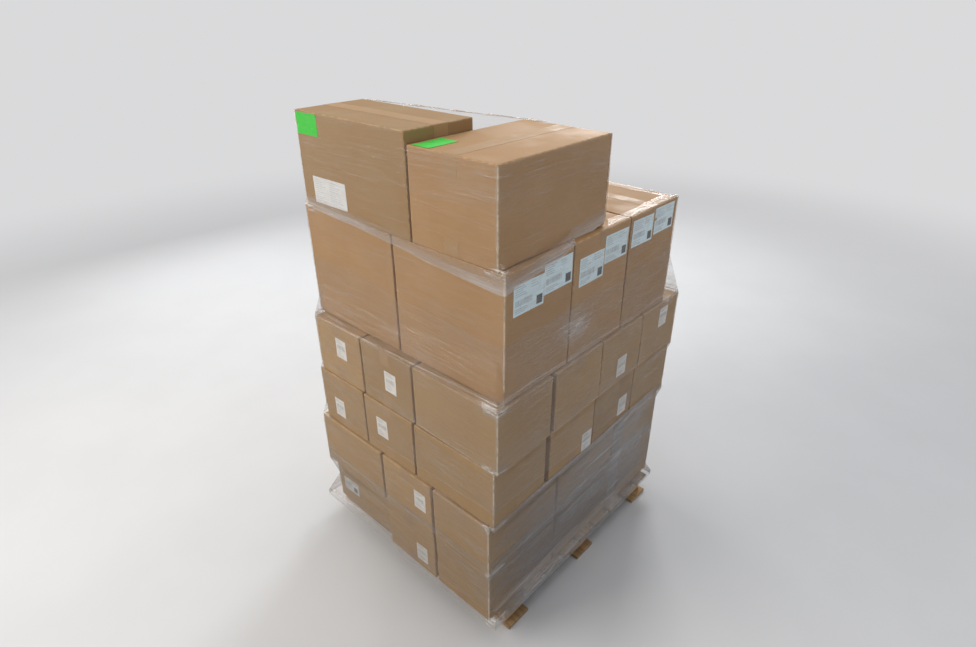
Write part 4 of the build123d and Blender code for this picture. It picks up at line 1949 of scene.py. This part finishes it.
    def limits(self, wrap: Wrap, low: np.ndarray, high: np.ndarray, x: np.ndarray, y: np.ndarray,
               sway: np.ndarray) -> tuple[np.ndarray, np.ndarray]:
        """Keeps a turn's edges where the load lets them be.

        Args:
            wrap: The turn.
            low: Its lower edge, for each column.
            high: Its upper edge.
            x: Where each column is.
            y: Where each column is.
            sway: A slow noise along the turn.

        Returns:
            The lower and the upper edge.
        """
        s = self.shoulder
        if wrap.turn is Turn.FOOT:
            low = np.full(len(x), self.skirt_low) + np.abs(sway) * 5 * MM
        if wrap.turn is Turn.SHOULDER:
            beside = np.where(x > 0, self.right_top[1][1], self.left_top[1][1]) + self.beside
            lap = np.where(y > beside, self.lap * (1 + 0.35 * sway), -self.edge_drop)
            kernel = np.ones(9) / 9
            lap = np.convolve(np.concatenate([lap[-4:], lap, lap[:4]]), kernel, "valid")
            high = s + lap
        if wrap.upper:
            behind, lowest = self.behind(y), s + 4 * MM
            low = np.where(low < lowest, low * (1 - behind) + lowest * behind, low)
            beside_left = unit((self.left_top[1][0] + self.beside - x) / 0.05)
            span = self.right_top[0][0] - self.left_top[0][0]
            along_span = unit((self.right_top[0][0] - x) / span)
            beside_left = np.where(y > self.left_top[1][1] - 0.01, along_span, beside_left)
            top = self.right_top[1][2] + (self.left_top[1][2] - self.right_top[1][2]) * beside_left
            most = top - self.edge_drop
            high = np.minimum(high, most) if wrap.turn is Turn.NECK else most + sway * 2 * MM
        return low, high

    def wrinkles(self, wrap: Wrap, lay: Lay) -> tuple[np.ndarray, np.ndarray, np.ndarray]:
        """Gives the wrinkles: long ones along the pull, ripples where film spans a step, crumples at corners.

        Args:
            wrap: The turn.
            lay: How it lies on the load.

        Returns:
            How far the film stands out, how crumpled it is, and how near its edge, all for each point.
        """
        def pattern(folds: Folds) -> np.ndarray:
            """Gives the noise of some folds.

            Args:
                folds: The folds.

            Returns:
                Their noise.
            """
            cells = max(1, round(lay.length / folds.along))
            around = lay.distance / lay.length * cells
            return field_noise(around, lay.level / folds.up, wrap.seed * 100 + folds.seed, cells)

        def ridged(folds: Folds) -> np.ndarray:
            """Gives the ridges of some folds."""
            return ridges(pattern(folds), folds.sharpness) - folds.sunk

        steps = np.min(np.abs(lay.z[..., None] - np.array(self.steps)), axis=-1)
        at_step = np.exp(-(steps / self.step_reach) ** 2)
        tall = wrap.high - wrap.low
        lower = unit(1.6 - lay.share * tall / wrap.hem)
        upper = self.top_hem * np.exp(-((1 - lay.share) * tall / self.top_hem_width) ** 2)
        hem = np.maximum(lower * wrap.gathered, upper) * (0.7 + 0.3 * pattern(self.hem_folds))
        foot = np.zeros(lay.z.shape)
        if wrap.turn is Turn.FOOT:
            foot = np.exp(-((lay.z - self.skirt_low) / self.foot_reach) ** 2)
        slack = pattern(self.slack) * 0.5 + 0.5
        at_corner = lay.corner ** 1.5 * at_step
        askew = lay.left * np.maximum(*(self.askew(lay, kind, wrap.seed)
                                        for kind in (self.askew_high, self.askew_low)))
        moved = (self.tension.depth_mm * ridged(self.tension) + self.slack.depth_mm * slack
                 + lay.free * self.ripples.depth_mm * ridged(self.ripples)
                 + at_corner * self.crushed.depth_mm * ridged(self.crushed)
                 + foot * self.bunched.depth_mm * ridged(self.bunched)
                 + hem * self.hem_folds.depth_mm + self.askew_mm * askew) * MM
        shares = self.crumpling
        crumple = unit(shares.steps * lay.free * at_step + shares.corners * at_corner
                       + (shares.foot + shares.foot_corners * lay.corner) * foot
                       + shares.askew * askew + shares.patches * unit(pattern(self.patches)))
        return moved, crumple, np.clip(hem, 0, 1.6)

    @staticmethod
    def askew(lay: Lay, kind: Askew, seed: int) -> np.ndarray:
        """Gives slanting drawn folds.

        Args:
            lay: How the turn lies on the load.
            kind: How the folds slant, and at what height.
            seed: The turn's seed.

        Returns:
            1 along a fold and 0 away from it, in patches.
        """
        across = lay.z + kind.slope * lay.y
        folds = field_noise(lay.y / kind.along, across / kind.across, seed + kind.seed + 700)
        folds = ridges(folds, kind.sharpness)
        patches = field_noise(lay.y / kind.patch[0], across / kind.patch[1], seed + kind.seed + 800)
        return folds * unit(0.55 + 1.3 * patches) * unit((lay.z - kind.start) / kind.rise)


# Studio

@dataclass
class Lamp:
    """A soft lamp: where it stands, where it points, its size, its power and its colour."""
    name: str
    place: Triple
    aim: Triple
    size: Pair
    power: float
    colour: Colour = (1.0, 1.0, 1.0)

    def build(self) -> None:
        """Adds the lamp."""
        data = bpy.data.lights.new(self.name, "AREA")
        data.shape = "RECTANGLE"
        data.size, data.size_y = self.size
        data.energy = self.power
        data.color = self.colour
        lamp = bpy.data.objects.new(self.name, data)
        bpy.context.scene.collection.objects.link(lamp)
        lamp.location = self.place
        lamp.rotation_mode = "QUATERNION"
        lamp.rotation_quaternion = (Vector(self.aim) - Vector(self.place)).to_track_quat("-Z", "Y")


@dataclass
class Studio:
    """The floor, the lamps, the world and the camera.

    The floor's colour is what shows, and its bounce what lights the load. Far off it fades to the backdrop.
    """
    camera_place: Triple = (1.565, -1.750, 2.270)
    camera_forward: Triple = (-0.5956, 0.6462, -0.4772)
    camera_right: Triple = (0.7369, 0.6760, -0.0045)
    lens: float = 22.6
    floor_colour: Colour = (0.73, 0.74, 0.75)
    floor_shade: float = 0.97
    floor_bounce: Colour = (0.29, 0.29, 0.295)
    floor_roughness: float = 0.95
    floor_ior: float = 1.15
    floor_reach: float = 30.0
    floor_fade: Pair = (2.0, 7.5)
    backdrop: Colour = (0.70, 0.70, 0.71)
    world_colour: Colour = (0.95, 0.955, 1.0)
    world_strength: float = 0.27

    def build(self) -> None:
        """Builds everything that isn't part of the load."""
        self.camera()
        self.floor()
        self.world()
        for lamp in (
            Lamp("key", (-2.2, -4.1, 3.3), (0.0, 0.0, 1.1), (2.6, 2.6), 149.0, (1.0, 0.94, 0.865)),
            Lamp("overhead", (0.3, 0.3, 5.0), (0.0, 0.0, 0.9), (3.0, 3.0), 52.0),
            Lamp("left", (-4.5, 0.5, 2.1), (-0.2, 0.0, 1.1), (2.2, 2.2), 52.0),
            Lamp("back", (-1.9, 4.3, 3.1), (0.1, 0.1, 1.4), (1.8, 1.5), 124.0),
            Lamp("right", (4.4, 0.6, 2.4), (0.2, 0.0, 0.9), (2.6, 2.6), 21.0, (0.92, 0.95, 1.0)),
        ):
            lamp.build()
        bpy.context.scene.view_settings.view_transform = "Standard"

    def camera(self) -> None:
        """Sets up the camera at the photograph's viewing angle."""
        data = bpy.data.cameras.new("camera")
        data.lens = self.lens
        data.sensor_width = 36.0
        data.clip_end = 100.0
        camera = bpy.data.objects.new("camera", data)
        bpy.context.scene.collection.objects.link(camera)
        forward = Vector(self.camera_forward).normalized()
        right = Vector(self.camera_right).normalized()
        up = right.cross(forward)
        right = forward.cross(up)
        turned = Matrix((right, up, -forward)).transposed().to_4x4()
        camera.matrix_world = Matrix.Translation(self.camera_place) @ turned
        bpy.context.scene.camera = camera

    def floor(self) -> None:
        """Lays a pale floor."""
        material, tree, shader = new_material("pale_floor")
        cloud = tree.noise(tree.place(), 1.4, 3.0, 0.55)
        shade = tuple(c * self.floor_shade for c in self.floor_colour)
        pale = tree.mix(tree.span(cloud, 0.35, 0.65), self.floor_colour, shade)
        tree.feed(shader.inputs["Base Color"], tree.mix(self.seen(tree), self.floor_bounce, pale))
        shader.inputs["Roughness"].default_value = self.floor_roughness
        shader.inputs["IOR"].default_value = self.floor_ior
        far = tree.node("ShaderNodeVectorMath", operation="LENGTH")
        tree.feed(far.inputs[0], tree.place())
        glow = tree.node("ShaderNodeEmission")
        glow.inputs["Color"].default_value = (*self.backdrop, 1.0)
        blend = tree.node("ShaderNodeMixShader")
        tree.feed(blend.inputs[0], tree.span(far.outputs["Value"], *self.floor_fade))
        tree.feed(blend.inputs[1], shader.outputs[0])
        tree.feed(blend.inputs[2], glow.outputs[0])
        tree.feed(material.node_tree.nodes["Material Output"].inputs[0], blend.outputs[0])
        r = self.floor_reach
        mesh = bpy.data.meshes.new("floor")
        mesh.from_pydata([(-r, -r, 0), (r, -r, 0), (r, r, 0), (-r, r, 0)], [], [(0, 1, 2, 3)])
        mesh.materials.append(material)
        floor = bpy.data.objects.new("floor", mesh)
        bpy.context.scene.collection.objects.link(floor)

    def world(self) -> None:
        """Lights everything softly from all round, in front of a pale background."""
        world = bpy.data.worlds.new("soft_room")
        bpy.context.scene.world = world
        world.use_nodes = True
        tree = Tree(world.node_tree)
        background = world.node_tree.nodes["Background"]
        dim = tuple(c * self.world_strength for c in self.world_colour)
        tree.feed(background.inputs["Color"], tree.mix(self.seen(tree), dim, self.backdrop))

    @staticmethod
    def seen(tree: Tree) -> Socket:
        """Gives 1 where the floor or the room is seen, also in gloss, and 0 where it only lights the load.

        Args:
            tree: The material's nodes.

        Returns:
            The share.
        """
        path = tree.node("ShaderNodeLightPath")
        direct = tree.math("MAXIMUM", path.outputs["Is Camera Ray"], path.outputs["Is Glossy Ray"])
        return tree.math("MAXIMUM", direct, path.outputs["Is Transmission Ray"])


INSIDE = np.array([0.0, 0.0, 0.5])  # a point in the load, which its labels face away from


def main() -> None:
    """Builds the load's sub-assemblies in order, then the studio."""
    logging.basicConfig(level=logging.INFO, format="%(name)s %(message)s")
    effects = Effects()
    plain = KraftFinish("kraft_board_plain", (0.440, 0.276, 0.114)).material(effects)
    ruddy = KraftFinish("kraft_board_ruddy", (0.465, 0.270, 0.116)).material(effects)
    dull = KraftFinish("kraft_board_dull", (0.352, 0.216, 0.090)).material(effects)
    boards = WoodFinish("board_wood").material(effects)
    blocks = WoodFinish("block_wood", (0.62, 0.35, 0.10), dirt_share=0.28).material(effects)
    Pallet().build(boards, blocks, NailFinish().material(effects))
    CartonStack().build(plain, ruddy, dull, TapeFinish().material(effects))
    white = PaperFinish("label_white", (0.80, 0.80, 0.79), (0.66, 0.66, 0.66))
    warm_white = PaperFinish("label_warm_white", (0.95, 0.925, 0.88), (0.86, 0.84, 0.80))
    # blue tint and full brightness: partly the paper's colour, partly a painted bluish glare
    pale_blue_and_glare = PaperFinish("label_pale_blue_and_glare", (0.78, 0.96, 1.0), (0.72, 0.92, 1.0), (0.26, 0.40), 1.95)
    green = PaperFinish("sticker_green", (0.004, 0.64, 0.010), (0.003, 0.58, 0.008))
    pale_green = PaperFinish("sticker_green_top", (0.065, 0.74, 0.085), (0.05, 0.66, 0.07))
    ink = InkFinish().material(effects)
    for kind in (
        LabelKind("stock_labels", Ink.STOCK, warm_white),
        LabelKind("shipping_labels", Ink.SHIPPING, pale_blue_and_glare),
        LabelKind("routing_label", Ink.ROUTING, white),
        LabelKind("contents_label", Ink.CONTENTS, white),
        LabelKind("sticker_front", Ink.NONE, green, Slot.STICKER_GREEN),
        LabelKind("sticker_top", Ink.NONE, pale_green, Slot.STICKER_GREEN),
    ):
        kind.build(effects, ink, INSIDE)
    StretchFilm().build(FilmFinish().material(effects))
    Studio().build()


if __name__ == "__main__":
    main()
